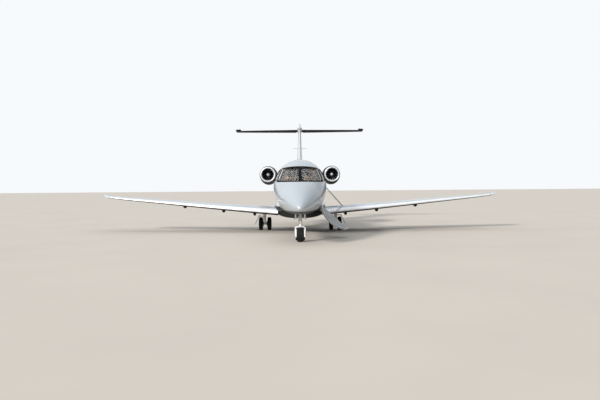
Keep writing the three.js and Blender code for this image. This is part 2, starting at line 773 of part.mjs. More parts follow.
function tailBullet() {
  const cap = loft(FIN_CAP.map((row) => wholeRing(finSection(row))));
  return bulletBody(0).add(cap).subtract(trimmed(tailplaneBlade(0.4)));
}

// Engines

function bulged(made) {
  const { smoothstep } = THREE.MathUtils;
  const growth = (y) => ENGINE.bulge * smoothstep(y, 60, 700) * (1 - smoothstep(y, 1900, ENGINE.length));
  return made.warp((point) => {
    if (point[2] < 0) point[2] *= 1 + growth(point[1]);
  });
}

const ENGINE_SIDES = 24;

// The outside of the engine's cowl, filled, and the cowl itself.
function cowlBody(outset) {
  const outside = COWL.slice(0, COWL_OUTSIDE).map(([y, r]) => [y, r + outset]);
  return bulged(turnedY([[0, 0], ...outside, [ENGINE.length, 0]], ENGINE_SIDES));
}

const cowl = () => cowlBody(0).subtract(turnedY(ductProfile(0), ENGINE_SIDES));

// What fills the duct from the lip to the nozzle, taken in by a gap.
function ductProfile(gap) {
  const inside = COWL.slice(COWL_OUTSIDE).reverse();
  return [[-1, 0], [-1, 322 - gap], ...inside.map(([y, r]) => [y, r - gap]), [2861, 288 - gap], [2861, 0]];
}

function fanRotor() {
  const f = FAN;
  const hub = turnedY(
    [
      [f.nose, 0],
      [f.nose + 12, 24],
      [f.nose + 70, 60],
      [f.face - 30, f.hub],
      [f.face + f.depth, f.hub + 6],
      [f.face + f.depth, 0],
    ],
    16,
  );
  const blades = [];
  const b = FAN_BLADE;
  const span = b.tip - b.root;
  for (let i = 0; i < b.count; i++) {
    const blade = new THREE.BoxGeometry(span, f.depth * 1.25, b.thick);
    const place = blade.attributes.position;
    for (let k = 0; k < place.count; k++) {
      const share = place.getX(k) / span + 0.5;
      const twist = THREE.MathUtils.degToRad(b.pitch * (0.35 + 0.65 * share));
      const [y, z] = [place.getY(k), place.getZ(k)];
      place.setY(k, y * Math.cos(twist) - z * Math.sin(twist));
      place.setZ(k, y * Math.sin(twist) + z * Math.cos(twist));
    }
    blade.translate(b.root + span / 2, f.face + f.depth / 2, 0).rotateY((2 * Math.PI * i) / b.count);
    blades.push(solid(blade));
  }
  const shaft = rod([0, f.face + f.depth - 10, 0], [0, 640, 0], 20, 16);
  return joined([...blades, hub, shaft]);
}

function engineCore() {
  const block = turnedY(CORE, 16);
  const struts = [];
  for (let i = 0; i < CORE_STRUTS; i++) {
    const strut = new THREE.BoxGeometry(220, 150, 14).translate(210, 790, 0);
    struts.push(solid(strut.rotateY((2 * Math.PI * (i + 0.5)) / CORE_STRUTS)));
  }
  const inDuct = turnedY(ductProfile(0.4), ENGINE_SIDES);
  const bore = rod([0, 500, 0], [0, 645, 0], 20.9, 16);
  return joined([joined(struts).intersect(inDuct), block]).subtract(bore);
}

function enginePylon() {
  const row = (x) => ({
    lead: new THREE.Vector3(x, station(PYLON.lead + (x - 600) * 0.25), ENGINE.z + 20),
    chord: PYLON.chord,
    thickness: PYLON.thickness,
    camber: 0,
    out: UP,
  });
  const blade = loft([wholeRing(row(600)), wholeRing(row(1400))]);
  const nacelle = cowlBody(0.4).translate([ENGINE.x, station(ENGINE.lip), ENGINE.z]);
  return blade.subtract(fuselage(10300, 13500, -0.4)).subtract(nacelle);
}

// Landing gear

// A tyre's section as distances along the axle and radii; a ring can stand out of its shoulders.
function tyreProfile(half, outer, bore, ring = []) {
  const deep = outer - bore;
  const bead = [half * 0.62, bore];
  const side = [bead, [half * 0.96, bore + deep * 0.34], ...ring, [half * 0.94, outer - deep * 0.24]];
  const right = [...side, [half * 0.55, outer]];
  const left = right.map(([along, radius]) => [-along, radius]);
  return [...right, ...left.reverse(), right[0]];
}

// The nose tyre, whose shoulders carry a ring each side that throws water out.
function noseTyre() {
  const g = NOSE_GEAR;
  const ring = [
    [g.width * 0.97, g.bore + 54],
    [g.chine, g.bore + 62],
    [g.chine, g.bore + 68],
    [g.width * 0.95, g.bore + 86],
  ];
  return turnedX(tyreProfile(g.width, flatRadius(g.tyre), g.bore, ring), WHEEL_SIDES);
}

function rim(half, bore, axle) {
  const seat = bore - TOUCH - 0.4;
  return turnedX(
    [
      [-half * 0.72, seat],
      [half * 0.72, seat],
      [half * 0.4, axle],
      [-half * 0.4, axle],
      [-half * 0.72, seat],
    ],
    WHEEL_SIDES,
  );
}

// A wheel's outline has a flat underneath, so its outer radius is that of its flats.
const flatRadius = (radius) => radius / Math.cos(Math.PI / WHEEL_SIDES);

function noseStrut() {
  const y = station(NOSE_GEAR.station);
  const barrel = rod([0, y, 735], [0, y, BAY_ROOF - TOUCH], 54, 16);
  const collar = rod([0, y, 735], [0, y, 790], 66, 20);
  const brace = rod([0, y - 20, 860], [0, station(1300), FLOOR - 60], 20);
  const pivot = box(-90, 90, station(1260), station(1330), BAY_ROOF - 55, BAY_ROOF - TOUCH);
  const trunnion = rod([-174, y, FLOOR - 80], [174, y, FLOOR - 80], 28, 16);
  const lampArm = box(-14, 14, y - 110, y, 748, 776);
  const lamp = rod([0, y - 100, 762], [0, y - 165, 762], 52, 20);
  const bore = rod([0, y, 700], [0, y, 900], 31, 24);
  return joined([barrel, collar, brace, pivot, trunnion, lampArm, lamp]).subtract(bore);
}

function noseFork() {
  const g = NOSE_GEAR;
  const y = station(g.station);
  const axleY = y + g.trail;
  const axleZ = g.tyre;
  const piston = rod([0, y, 540], [0, y, 890], 30, 24);
  const crown = frontPrism(archOutline(186, 150, 292), axleY - 62, axleY + 44).translate([0, 0, axleZ]);
  const neck = box(-44, 44, y - 44, y + 60, 500, 585);
  const leg = box(164, 184, axleY - 40, axleY + 40, axleZ - 34, axleZ + 150);
  const legs = [leg, mirrored(leg)];
  const axle = rod([-186, axleY, axleZ], [186, axleY, axleZ], 22, 20);
  const link = sidePrism(
    shapeOf([
      [y + 40, 520],
      [y + 60, 520],
      [y + 150, 640],
      [y + 66, 726],
      [y + 34, 726],
      [y + 110, 640],
    ]),
    -22,
    22,
  );
  return joined([piston, crown, neck, ...legs, axle, link]);
}

// An upside-down U over a wheel: outer and inner half width and how high its top is.
function archOutline(outer, inner, top) {
  const shape = new THREE.Shape();
  shape.moveTo(outer, 60);
  shape.lineTo(outer, top - 90);
  shape.quadraticCurveTo(outer - 10, top, outer - 110, top);
  shape.lineTo(110 - outer, top);
  shape.quadraticCurveTo(10 - outer, top, -outer, top - 90);
  shape.lineTo(-outer, 60);
  shape.lineTo(-inner - 14, 60);
  shape.lineTo(-inner - 14, top - 100);
  shape.quadraticCurveTo(-inner + 10, top - 40, -inner + 50, top - 40);
  shape.lineTo(inner - 50, top - 40);
  shape.quadraticCurveTo(inner - 10, top - 40, inner + 14, top - 100);
  shape.lineTo(inner + 14, 60);
  return shape;
}

function noseDoor(side) {
  const inner = side * 178;
  const outer = side * 190;
  const x = [Math.min(inner, outer), Math.max(inner, outer)];
  const outline = [
    [station(1240), 790],
    [station(2280), 750],
    [station(2300), 1000],
    [station(1210), 1000],
  ];
  return sidePrism(shapeOf(outline), x[0], x[1]).subtract(fuselage(NOSE_JOINT, COCKPIT_END, -0.4));
}

function mainLeg() {
  const { x, station: place, tyre } = MAIN_GEAR;
  const [axleY, axleZ] = [station(place), tyre];
  const strutY = axleY - 215;
  const strut = rod([x, strutY, 400], [x, strutY - 42, 900], 52, 14);
  const knee = rod([x - 62, strutY, 400], [x + 62, strutY, 400], 50, 14);
  const arm = sidePrism(
    shapeOf([
      [strutY - 34, 372],
      [axleY - 10, axleZ - 44],
      [axleY + 44, axleZ - 10],
      [axleY + 30, axleZ + 46],
      [strutY + 20, 446],
    ]),
    x - 48,
    x + 48,
  );
  const shock = rod([x, axleY - 20, axleZ + 30], [x, strutY + 90, 700], 26, 10);
  const shockHead = rod([x, strutY + 96, 640], [x, strutY + 80, 790], 38, 12);
  const shockLug = box(x - 22, x + 22, strutY, strutY + 90, 730, 786);
  const brace = rod([x, strutY, 640], [x - 238, strutY, 900], 24, 10);
  const doorRod = rod([x, strutY + 10, 640], [x + 330, strutY + 60, 612], 11, 6);
  const doorRods = [-30, 30].map((rise) => doorRod.translate([0, 0, rise]));
  const bore = rod([x - 80, axleY, axleZ], [x + 80, axleY, axleZ], AXLE + 0.7, 20);
  return joined([strut, knee, arm, shock, shockHead, shockLug, brace, ...doorRods])
    .subtract(bore)
    .subtract(wingBlade(0.4))
    .subtract(fairingBody(0.4))
    .subtract(doorPrism(-TOUCH, 500));
}

const MAIN_DOOR_TILT = 0.46; // how far the door leans out for each unit that it hangs down
const mainDoorEdge = (z) => MAIN_GEAR.x + 232 + (660 - z) * MAIN_DOOR_TILT;

function doorOutline(offset, width) {
  return shapeOf([
    [mainDoorEdge(665) + offset, 665],
    [mainDoorEdge(665) + offset + width, 665],
    [mainDoorEdge(265) + offset + width, 265],
    [mainDoorEdge(265) + offset, 265],
  ]);
}

function doorPrism(offset, width) {
  const y = station(MAIN_GEAR.station);
  return frontPrism(doorOutline(offset, width), y - 330, y + 210);
}

const mainDoor = () => doorPrism(0, 14);

// The two rims of one leg with the axle that they turn on.
function mainWheelset() {
  const g = MAIN_GEAR;
  const wheels = [-1, 1].map((k) => rim(g.width, g.bore, 0.9 * AXLE).translate([k * g.spacing, 0, 0]));
  const axle = rod([-g.spacing - 70, 0, 0], [g.spacing + 70, 0, 0], AXLE, 20);
  return joined([...wheels, axle]);
}

function mainTyre() {
  const g = MAIN_GEAR;
  return turnedX(tyreProfile(g.width, flatRadius(g.tyre), g.bore), WHEEL_SIDES);
}

// Doors and their hinges

const STAIR_HINGES = [3620, 4080];
const CARGO_HINGES = [9200, 9950];
const KNUCKLE = 30;

// The lugs and pins that a door's eyes turn on; `reach` is where each lug starts on the body.
function hingeCarriers(hinge, places, reach, up) {
  return places.flatMap((place) => {
    const y = station(place);
    const [below, above] = up > 0 ? [8, 14] : [14, 8];
    const lug = box(reach, hinge.x + 12, y, y + KNUCKLE, hinge.z - below, hinge.z + above);
    const pin = rod([hinge.x, y + 4, hinge.z], [hinge.x, y + KNUCKLE * 2 + 8, hinge.z], 7, 16);
    return [lug, pin];
  });
}

// A door's eyes round those pins, in the door's own frame, whose origin is on the hinge line.
function hingeEyes(places, armTop, armBottom) {
  return places.flatMap((place) => {
    const y = station(place) + KNUCKLE + 3;
    const eye = rod([0, y, 0], [0, y + KNUCKLE, 0], 15, 16);
    const arm = box(-18, 15, y, y + KNUCKLE, armBottom, armTop);
    return [eye, arm];
  });
}

function hingeBores(places) {
  return places.map((place) => rod([0, station(place), 0], [0, station(place) + 90, 0], 7.6, 16));
}

const turnedAboutY = (made, degrees) => made.rotate([0, degrees, 0]);

// Where the airstair's side plates, posts and rails lie, as stations: front, then rear.
const STAIR_EDGES = [COCKPIT_END + CLEAR, STAIR_DOOR_END - CLEAR];
const STAIR_SIDES = [1, -1].map((k, i) => ({
  cheek: [STAIR_EDGES[i] + k * 57, STAIR_EDGES[i] + k * (57 + STAIR.cheek)],
  post: STAIR_EDGES[i] + k * 42,
  rail: STAIR_EDGES[i] + k * 18,
  k,
}));

// The pins on the doorway's frame that the eyes of the open handrails meet.
function stairEyePins(from, to) {
  const [x, z] = [STAIR.x + STAIR_RAIL.end[0] - 22, STAIR.z + STAIR_RAIL.end[1]];
  return [rod([x, station(from), z], [x, station(to), z], 8)];
}

// The airstair shut, in a frame whose origin is on its hinge line.
function airstairDoor() {
  const [front, rear] = STAIR_EDGES;
  const skin = barrelShell(STAIR.skin)
    .intersect(leftOf(300))
    .intersect(box(0, FAR, station(front), station(rear), FLOOR + CLEAR, EAVES - CLEAR));
  const cheeks = STAIR_SIDES.map(({ cheek }) =>
    fuselage(COCKPIT_END, STAIR_DOOR_END, STAIR.skin - 5).intersect(
      box(STAIR.chord, FAR, station(Math.min(...cheek)), station(Math.max(...cheek)), FLOOR + 45, EAVES - 60),
    ),
  );
  const shut = joined([skin, ...cheeks]).translate([-STAIR.x, 0, -STAIR.z]);
  const steps = [1, 2, 3, 4].map((n) => turnedAboutY(stairTread(n), -STAIR.swing));
  const arms = hingeEyes(STAIR_HINGES, 75, 0);
  const pivots = STAIR_SIDES.map(({ cheek, k }) => {
    const [x, z] = STAIR_POST.foot;
    const pin = rod([x, station(cheek[1]), z], [x, station(cheek[0] - k * 24), z], 6);
    return turnedAboutY(pin, -STAIR.swing);
  });
  const whole = joined([shut, ...steps, ...arms, ...pivots]);
  return hingeBores(STAIR_HINGES).reduce((part, bore) => part.subtract(bore), whole);
}

// A tread of the open stair, in the open stair's frame.
function stairTread(n) {
  const [rise, run] = [190, 204];
  const [a, b] = [STAIR_SIDES[0].cheek[1], STAIR_SIDES[1].cheek[1]];
  return box(run * (n - 1) + 40, run * n + 45, station(a - 10), station(b + 10), -rise * n - 26, -rise * n);
}

// A handrail post and rail, as they stand by the open stair.
function stairPost(side) {
  const y = station(side.post);
  const [[fx, fz], [hx, hz]] = [STAIR_POST.foot, STAIR_POST.head];
  const tube = rod([fx, y, fz], [hx, y, hz], 9, 8);
  const eyes = [rod([fx, y - 9, fz], [fx, y + 9, fz], 16, 10), rod([hx, y - 9, hz], [hx, y + 9, hz], 16, 10)];
  const pin = rod([hx, y, hz], [hx, station(side.rail - side.k * 9), hz], 6);
  const bore = rod([fx, y - 20, fz], [fx, y + 20, fz], 6.6);
  return joined([tube, ...eyes]).subtract(bore).add(pin);
}

function stairRail(side) {
  const y = station(side.rail);
  const [[hx, hz], [ex, ez]] = [STAIR_POST.head, STAIR_RAIL.end];
  const tube = rod([hx, y, hz], [ex, y, ez], 9, 8);
  const eyes = [rod([hx, y - 9, hz], [hx, y + 9, hz], 16, 10), rod([ex, y - 9, ez], [ex, y + 9, ez], 12, 10)];
  const bore = rod([hx, y - 20, hz], [hx, y + 20, hz], 6.6);
  return joined([tube, ...eyes]).subtract(bore);
}

function cargoDoor() {
  const skin = barrelShell(CARGO_DOOR.skin)
    .intersect(leftOf(300))
    .intersect(stations(CARGO_DOOR_START + CLEAR, CABIN_END - CLEAR))
    .intersect(above(FLOOR + CLEAR))
    .intersect(below(EAVES - CLEAR));
  const shut = skin.translate([-CARGO_DOOR.x, 0, -CARGO_DOOR.z]);
  const whole = joined([shut, ...hingeEyes(CARGO_HINGES, 0, -75)]);
  return hingeBores(CARGO_HINGES).reduce((part, bore) => part.subtract(bore), whole);
}

// Inside

function instrumentPanel() {
  const outline = [
    [station(COCKPIT_BULKHEAD) + TOUCH, FLOOR + TOUCH],
    [station(1900), FLOOR + TOUCH],
    [station(1960), 1500],
    [station(2120), 1560],
    [station(2090), 1900],
    [station(1860), 1945],
    [station(1600), 1935],
    [station(COCKPIT_BULKHEAD) + TOUCH, 1880],
  ];
  const hood = sidePrism(shapeOf(outline), -700, 700);
  const pedestal = box(-130, 130, station(1880), station(2520), FLOOR + TOUCH, 1560);
  return joined([hood, pedestal]).intersect(fuselage(1500, 3300, WALL + 5)).subtract(fuselage(900, 1400, 0));
}

// A seat seen from the side, facing the nose, from the station of its front edge.
function seatOutline(front, facing) {
  const outline = [
    [60, 0],
    [430, 0],
    [430, 160],
    [560, 330],
    [690, 1020],
    [640, 1080],
    [560, 1060],
    [440, 480],
    [40, 500],
    [0, 460],
    [0, 330],
    [60, 300],
  ];
  return outline.map(([back, height]) => [station(front) + facing * back, FLOOR + TOUCH + height]);
}

function seat(front, x, half, facing) {
  const body = sidePrism(shapeOf(seatOutline(front, facing)), x - half, x + half);
  const arm = (k) => {
    const outer = x + k * half;
    const inner = x + k * (half - 65);
    const [x0, x1] = [Math.min(inner, outer), Math.max(inner, outer)];
    const [y0, y1] = [90, 520].map((back) => station(front) + facing * back).sort((p, q) => p - q);
    return box(x0, x1, y0, y1, FLOOR + 300, FLOOR + 640);
  };
  return joined([body, arm(1), arm(-1)]);
}

const SEAT_HALF = 205;
const PILOT_SEAT = { x: 350, front: 2480 };
const CABIN_SEAT_X = 395;
const CABIN_SEATS = [
  // station of the front edge, and 1 facing the nose or -1 facing the tail
  [5560, -1],
  [6150, 1],
  [7350, 1],
];

// The cabin seats on the carpeted floor panel that carries them.
function cabinSeats() {
  const row = (x) => CABIN_SEATS.map(([front, facing]) => seat(front, x, SEAT_HALF, facing));
  const seats = [...row(-CABIN_SEAT_X), ...row(CABIN_SEAT_X)];
  const panel = box(-FAR, FAR, station(3600), station(8700), FLOOR + TOUCH, FLOOR + 14);
  return joined([...seats, panel]).intersect(fuselage(COCKPIT_END + 20, CABIN_END, WALL + 5));
}

function pilotSeats() {
  const seats = [-PILOT_SEAT.x, PILOT_SEAT.x].map((x) => seat(PILOT_SEAT.front, x, SEAT_HALF, 1));
  const panel = box(-560, 560, station(2530), station(3300), FLOOR + TOUCH, FLOOR + 14);
  return joined([...seats, panel]).intersect(fuselage(COCKPIT_BULKHEAD, COCKPIT_END, WALL + 5));
}

// The aircraft

const aircraft = new THREE.Group();
const show = (name, made, material) => aircraft.add(meshOf(name, made, material));

show("nose_cone", noseCone(), PAINT);
show("cockpit_floor_pan", cockpitFloorPan(), PAINT);
show("cockpit_shell", cockpitShell(), PAINT);
show("cabin_floor_pan", cabinFloorPan(), PAINT);
show("side_panel_left", sidePanel(1, STAIR_DOOR_END, CARGO_DOOR_START, LEFT_WINDOWS), PAINT);
show("side_panel_right", sidePanel(-1, COCKPIT_END, CABIN_END, RIGHT_WINDOWS), PAINT);
show("roof_panel", roofPanel(), PAINT);
show("aft_fuselage", aftFuselage(), PAINT);
show("belly_fairing", bellyFairing(), PAINT);

for (const [name, side] of [["left", 1], ["right", -1]]) {
  const pane = (prism) => paneSkin().intersect(prism);
  show(`windscreen_${name}`, pane(windscreenPrism(side, TOUCH)), GLAZING);
  show(`side_window_${name}`, pane(sideWindowPrism(side, TOUCH)), GLAZING);
  show(`cabin_windows_${name}`, cabinWindows(side, side > 0 ? LEFT_WINDOWS : RIGHT_WINDOWS), GLAZING);
  show(`nose_gear_door_${name}`, noseDoor(side), PAINT);

  const handed = (made) => (side > 0 ? made : mirrored(made));
  show(`wing_${name}`, handed(wing()), PAINT);
  show(`aileron_${name}`, handed(aileron()), PAINT);
  show(`flap_${name}`, handed(flap()), PAINT);
  show(`pylon_${name}`, handed(enginePylon()), PAINT);
  show(`main_leg_${name}`, handed(mainLeg()), GEAR_PAINT);
  show(`main_gear_door_${name}`, handed(mainDoor()), PAINT);

  const elevator = new THREE.Group();
  elevator.position.set(0, station(ELEVATOR.hinge), TAIL_HEIGHT);
  elevator.rotation.x = THREE.MathUtils.degToRad(TAIL_TRIM - ELEVATOR.droop);
  const blade = handed(elevatorBlade()).translate([0, -station(ELEVATOR.hinge), -TAIL_HEIGHT]);
  elevator.add(meshOf(`elevator_${name}`, blade, PAINT));
  aircraft.add(elevator);

  const engine = new THREE.Group();
  engine.position.set(side * ENGINE.x, station(ENGINE.lip), ENGINE.z);
  engine.add(meshOf(`nacelle_${name}`, cowl(), PAINT));
  engine.add(meshOf(`fan_${name}`, fanRotor(), DARK_METAL));
  engine.add(meshOf(`engine_core_${name}`, engineCore(), DARK_METAL));
  aircraft.add(engine);

  const wheels = new THREE.Group();
  wheels.position.set(side * MAIN_GEAR.x, station(MAIN_GEAR.station), MAIN_GEAR.tyre);
  wheels.add(meshOf(`main_wheels_${name}`, mainWheelset(), BRIGHT));
  for (const [place, k] of [["outer", side], ["inner", -side]]) {
    const tyre = meshOf(`main_tyre_${name}_${place}`, mainTyre(), RUBBER);
    tyre.position.x = k * MAIN_GEAR.spacing;
    wheels.add(tyre);
  }
  aircraft.add(wheels);
}

show("fin", fin(), PAINT);
show("rudder", rudder(), PAINT);
show("tailplane", tailplane(), PAINT);
show("tail_bullet", tailBullet(), PAINT);
show("instrument_panel", instrumentPanel(), TRIM);
show("pilot_seats", pilotSeats(), LEATHER);
show("cabin_seats", cabinSeats(), LEATHER);
show("nose_strut", noseStrut(), GEAR_PAINT);
show("nose_fork", noseFork(), GEAR_PAINT);

const noseWheel = new THREE.Group();
noseWheel.position.set(0, station(NOSE_GEAR.station) + NOSE_GEAR.trail, NOSE_GEAR.tyre);
noseWheel.add(meshOf("nose_tyre", noseTyre(), RUBBER));
noseWheel.add(meshOf("nose_rim", rim(NOSE_GEAR.width, NOSE_GEAR.bore, 22.7), BRIGHT));
aircraft.add(noseWheel);

const airstair = new THREE.Group();
airstair.position.set(STAIR.x, 0, STAIR.z);
const stairLeaf = meshOf("airstair", airstairDoor(), PAINT);
stairLeaf.rotation.y = THREE.MathUtils.degToRad(STAIR.swing);
airstair.add(stairLeaf);
for (const [i, place] of ["front", "rear"].entries()) {
  airstair.add(meshOf(`stair_post_${place}`, stairPost(STAIR_SIDES[i]), BRIGHT));
  airstair.add(meshOf(`stair_rail_${place}`, stairRail(STAIR_SIDES[i]), BRIGHT));
}
aircraft.add(airstair);

const cargo = meshOf("cargo_door", cargoDoor(), PAINT);
cargo.position.set(CARGO_DOOR.x, 0, CARGO_DOOR.z);
aircraft.add(cargo);

export default aircraft;
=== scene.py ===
"""A twin-engined business jet parked with its airstair open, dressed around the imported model.

Metres, +Z up, the nose towards -Y and the left side of the aircraft at +X. Places along the fuselage
are stations: the distance behind the nose tip.
"""

import math
from collections import namedtuple
from contextlib import contextmanager

import bpy
from mathutils import Matrix, Vector


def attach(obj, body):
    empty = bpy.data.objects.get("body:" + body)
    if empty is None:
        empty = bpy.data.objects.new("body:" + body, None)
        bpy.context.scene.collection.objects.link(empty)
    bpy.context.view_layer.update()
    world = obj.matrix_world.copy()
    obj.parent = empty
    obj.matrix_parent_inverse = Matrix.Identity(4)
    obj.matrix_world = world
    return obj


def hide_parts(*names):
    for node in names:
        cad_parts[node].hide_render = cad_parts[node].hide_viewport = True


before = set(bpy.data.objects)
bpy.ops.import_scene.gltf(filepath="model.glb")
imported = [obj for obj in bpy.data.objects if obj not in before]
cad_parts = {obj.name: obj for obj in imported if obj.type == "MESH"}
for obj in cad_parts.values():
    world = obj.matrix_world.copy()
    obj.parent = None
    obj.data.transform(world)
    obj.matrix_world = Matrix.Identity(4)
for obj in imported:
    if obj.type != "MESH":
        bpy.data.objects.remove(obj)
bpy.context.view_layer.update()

# Driving dimensions

LENGTH = 16.85
TAU = 2 * math.pi
SIDES = ((1, "left"), (-1, "right"))

HULL = [
    # station, bottom, top, height of the widest place, half width, power of the oval
    (0.0, 1.177, 1.177, 1.177, 0.0, 2.0),
    (0.06, 1.093, 1.292, 1.19, 0.112, 2.0),
    (0.2, 1.053, 1.42, 1.215, 0.215, 2.0),
    (0.45, 1.026, 1.598, 1.268, 0.345, 2.05),
    (0.8, 0.998, 1.792, 1.34, 0.48, 2.1),
    (1.15, 0.97, 1.93, 1.4, 0.59, 2.15),
    (1.42, 0.951, 2.03, 1.45, 0.665, 2.2),
    (1.75, 0.936, 2.265, 1.51, 0.748, 2.2),
    (2.1, 0.923, 2.485, 1.59, 0.815, 2.15),
    (2.5, 0.913, 2.66, 1.68, 0.872, 2.1),
    (2.95, 0.905, 2.775, 1.78, 0.915, 2.05),
    (3.45, 0.9, 2.82, 1.86, 0.934, 2.0),
    (10.2, 0.9, 2.82, 1.86, 0.934, 2.0),
    (11.0, 0.962, 2.82, 1.892, 0.905, 2.0),
    (11.9, 1.112, 2.816, 1.962, 0.83, 2.0),
    (12.8, 1.33, 2.803, 2.066, 0.715, 2.0),
    (13.7, 1.59, 2.778, 2.186, 0.57, 2.0),
    (14.6, 1.88, 2.738, 2.31, 0.395, 2.0),
    (15.3, 2.11, 2.69, 2.402, 0.24, 2.0),
    (15.75, 2.27, 2.63, 2.45, 0.115, 2.0),
]
HULL_SIDES = 128
WALL = 0.09  # the cabin wall's thickness
FLOOR = 1.2
EAVES = 2.5  # where the side panels end and the roof begins
BAY = {"half": 0.175, "first": 1.18, "last": 2.33}  # the nose gear's bay
BAY_ROOF = 1.165
NOSE_JOINT = 0.8
COCKPIT_BULKHEAD = 1.56
COCKPIT_END = 3.45
STAIR_DOOR_END = 4.25
CARGO_DOOR_START = 8.95
CABIN_END = 10.2
TAIL_END = 15.75
TOUCH = 0.0003  # the space between panels that meet
SEATING = 0.0004  # the space between a part and what it is fitted round
CLEAR = 0.005  # the space round a door

Windscreen = namedtuple("Windscreen", "post foot foot_half head head_half crown")
WINDSCREEN = Windscreen(post=0.042, foot=2.04, foot_half=0.763, head=2.457, head_half=0.592, crown=2.505)
WINDSCREEN_PLAN = [(0, 1.2), (1.0, 1.2), (1.0, 1.764), (0.533, 2.8), (0, 2.8)]
ARCH_STEPS = 12
SIDE_WINDOW = [(2.4, 2.062), (3.13, 2.062), (3.18, 2.13), (3.06, 2.4), (2.96, 2.445), (2.75, 2.445)]
SIDE_WINDOW_MIDDLE = (2.77, 2.25)
PANE = (0.014, 0.044)  # the cockpit panes' outer and inner depth below the skin
CABIN_WINDOW = {"half": (0.17, 0.23), "corner": 0.11, "middle": 2.075, "first": 3.9, "pitch": 0.85}
WINDOW_SIDES = 48
LEFT_WINDOWS = range(1, 6)
RIGHT_WINDOWS = range(0, 6)

FAIRING = [
    # station, bottom, top, half width
    (5.0, 0.93, 1.15, 0.42),
    (5.5, 0.795, 1.26, 0.62),
    (6.0, 0.66, 1.35, 0.82),
    (6.4, 0.59, 1.39, 0.96),
    (7.2, 0.555, 1.42, 1.065),
    (8.7, 0.56, 1.41, 1.07),
    (9.4, 0.65, 1.33, 0.96),
    (9.9, 0.78, 1.23, 0.72),
    (10.35, 0.9, 1.12, 0.46),
]
FAIRING_POWER = 2.5
FAIRING_STEP = 0.11

WING = [
    # span, leading edge station, chord, height, thickness share
    (0.7, 6.126, 2.514, 0.814, 0.135),
    (3.2, 6.68, 2.03, 1.015, 0.13),
    (5.56, 7.205, 1.56, 1.225, 0.125),
    (8.0, 7.745, 1.075, 1.45, 0.115),
    (8.33, 7.86, 0.93, 1.488, 0.11),
    (8.5, 8.06, 0.64, 1.57, 0.1),
]
CAMBER = 0.018
EDGE = 0.003  # half the trailing edge's thickness
Panel = namedtuple("Panel", "first last hinge gap end")
AILERON = Panel(first=5.58, last=7.86, hinge=0.74, gap=0.008, end=0.016)
FLAP = Panel(first=1.12, last=5.54, hinge=0.77, gap=0.005, end=0.006)
FLAP_TRACKS = [1.97, 3.33, 5.04]
# a flap track's fairing, at the chord where it has its full size
TRACK = {"chord": 2.27, "half_length": 0.56, "half_width": 0.062, "depth": 0.14}

FIN = [
    # height, leading edge station, chord, thickness share
    (2.56, 11.88, 3.66, 0.075),
    (2.82, 12.15, 3.48, 0.078),
    (5.01, 14.45, 1.92, 0.085),
]
FIN_CAP = [(5.06, 14.78, 1.42, 0.1), (5.33, 14.96, 1.2, 0.105), (5.4, 15.06, 1.04, 0.1)]
DORSAL = [(10.9, 2.8), (12.7, 2.74), (12.9, 3.5), (12.35, 3.08), (11.6, 2.925)]
RUDDER_FOOT = (2.96, 14.755)
RUDDER_HEAD = (4.88, 15.725)
RUDDER_GAPS = {"nose": 0.016, "foot": 0.024, "head": 0.034}
AERIAL = {"half": 0.368, "station": (14.01, 14.075), "z": 3.93}
TAILPLANE = [
    # span, leading edge station, chord, thickness share
    (0.0, 14.95, 1.54, 0.095),
    (3.262, 15.4, 0.905, 0.095),
    (3.52, 15.45, 0.83, 0.09),
    (3.57, 15.56, 0.64, 0.08),
]
TAIL_HEIGHT = 5.06  # height of the elevators' hinge line
TAIL_TRIM = 5  # how far the tailplane is turned about that line, its leading edge down
ELEVATOR = {"hinge": 15.95, "inner": 0.19, "horn": 3.27, "droop": 10}
BULLET = {"nose": 14.2, "radius": 0.15, "widest": 0.3}
WICKS = {"aileron": (6.3, 7.0, 7.6), "rudder": (3.7, 4.2, 4.7), "elevator": (1.6, 2.4, 3.0)}
BOOT_START = 0.13  # where the tailplane's boots begin, from its middle
BOOT_SHARE = 0.13  # the boots' depth over the chord

ENGINE = {"x": 1.517, "z": 2.475, "lip": 10.3, "length": 2.86, "bulge": 0.15}
# the nacelle's inside and outside, as distances behind the lip and radii
COWL_DUCT = [
    (2.86, 0.288), (2.3, 0.296), (1.7, 0.3), (0.9, 0.298), (0.4, 0.288), (0.11, 0.281), (0.025, 0.298),
]
COWL_OUTSIDE = [
    (0, 0.322), (0.022, 0.35), (0.09, 0.371), (0.3, 0.4), (0.7, 0.416), (1.5, 0.414), (2.15, 0.378),
]
FAN = {"nose": 0.19, "face": 0.38, "depth": 0.12, "hub": 0.092, "root": 0.07, "tip": 0.27}
FAN_BLADES = 16
FAN_PITCH = 42
BLADE_RINGS = 8
# the engine's block and exhaust cone, as distances behind the lip and radii
CORE = [(0.56, 0.15), (0.7, 0.205), (1.9, 0.215), (2.5, 0.17), (2.8, 0.09), (2.96, 0.02)]
CORE_STRUTS = 6
CORE_VANES = 30
PYLON = {"lead": 10.72, "chord": 2.0, "thickness": 0.085}

NOSE_GEAR = {
    "station": 2.05,
    "trail": 0.06,
    "tyre": 0.234,
    "half": 0.118,
    "chine": 0.158,
    "bore": 0.108,
    "hub": 0.023,
    "fork": 0.186,
    "light": 0.762,
}
# the torque link's heights, distance behind the strut, half width and half thickness
TORQUE_LINK = [(0.52, 0.05, 0.066, 0.01), (0.636, 0.128, 0.034, 0.014), (0.726, 0.05, 0.066, 0.014)]
NOSE_DOOR = (0.178, 0.19)
MAIN_GEAR = {
    "x": 1.528,
    "station": 8.2,
    "tyre": 0.28,
    "half": 0.084,
    "bore": 0.128,
    "hub": 0.027,
    "spacing": 0.184,
    "axle": 0.254,
    "knee": 0.215,
}
MAIN_DOOR = {"bottom": 0.265, "top": 0.665, "thickness": 0.014}
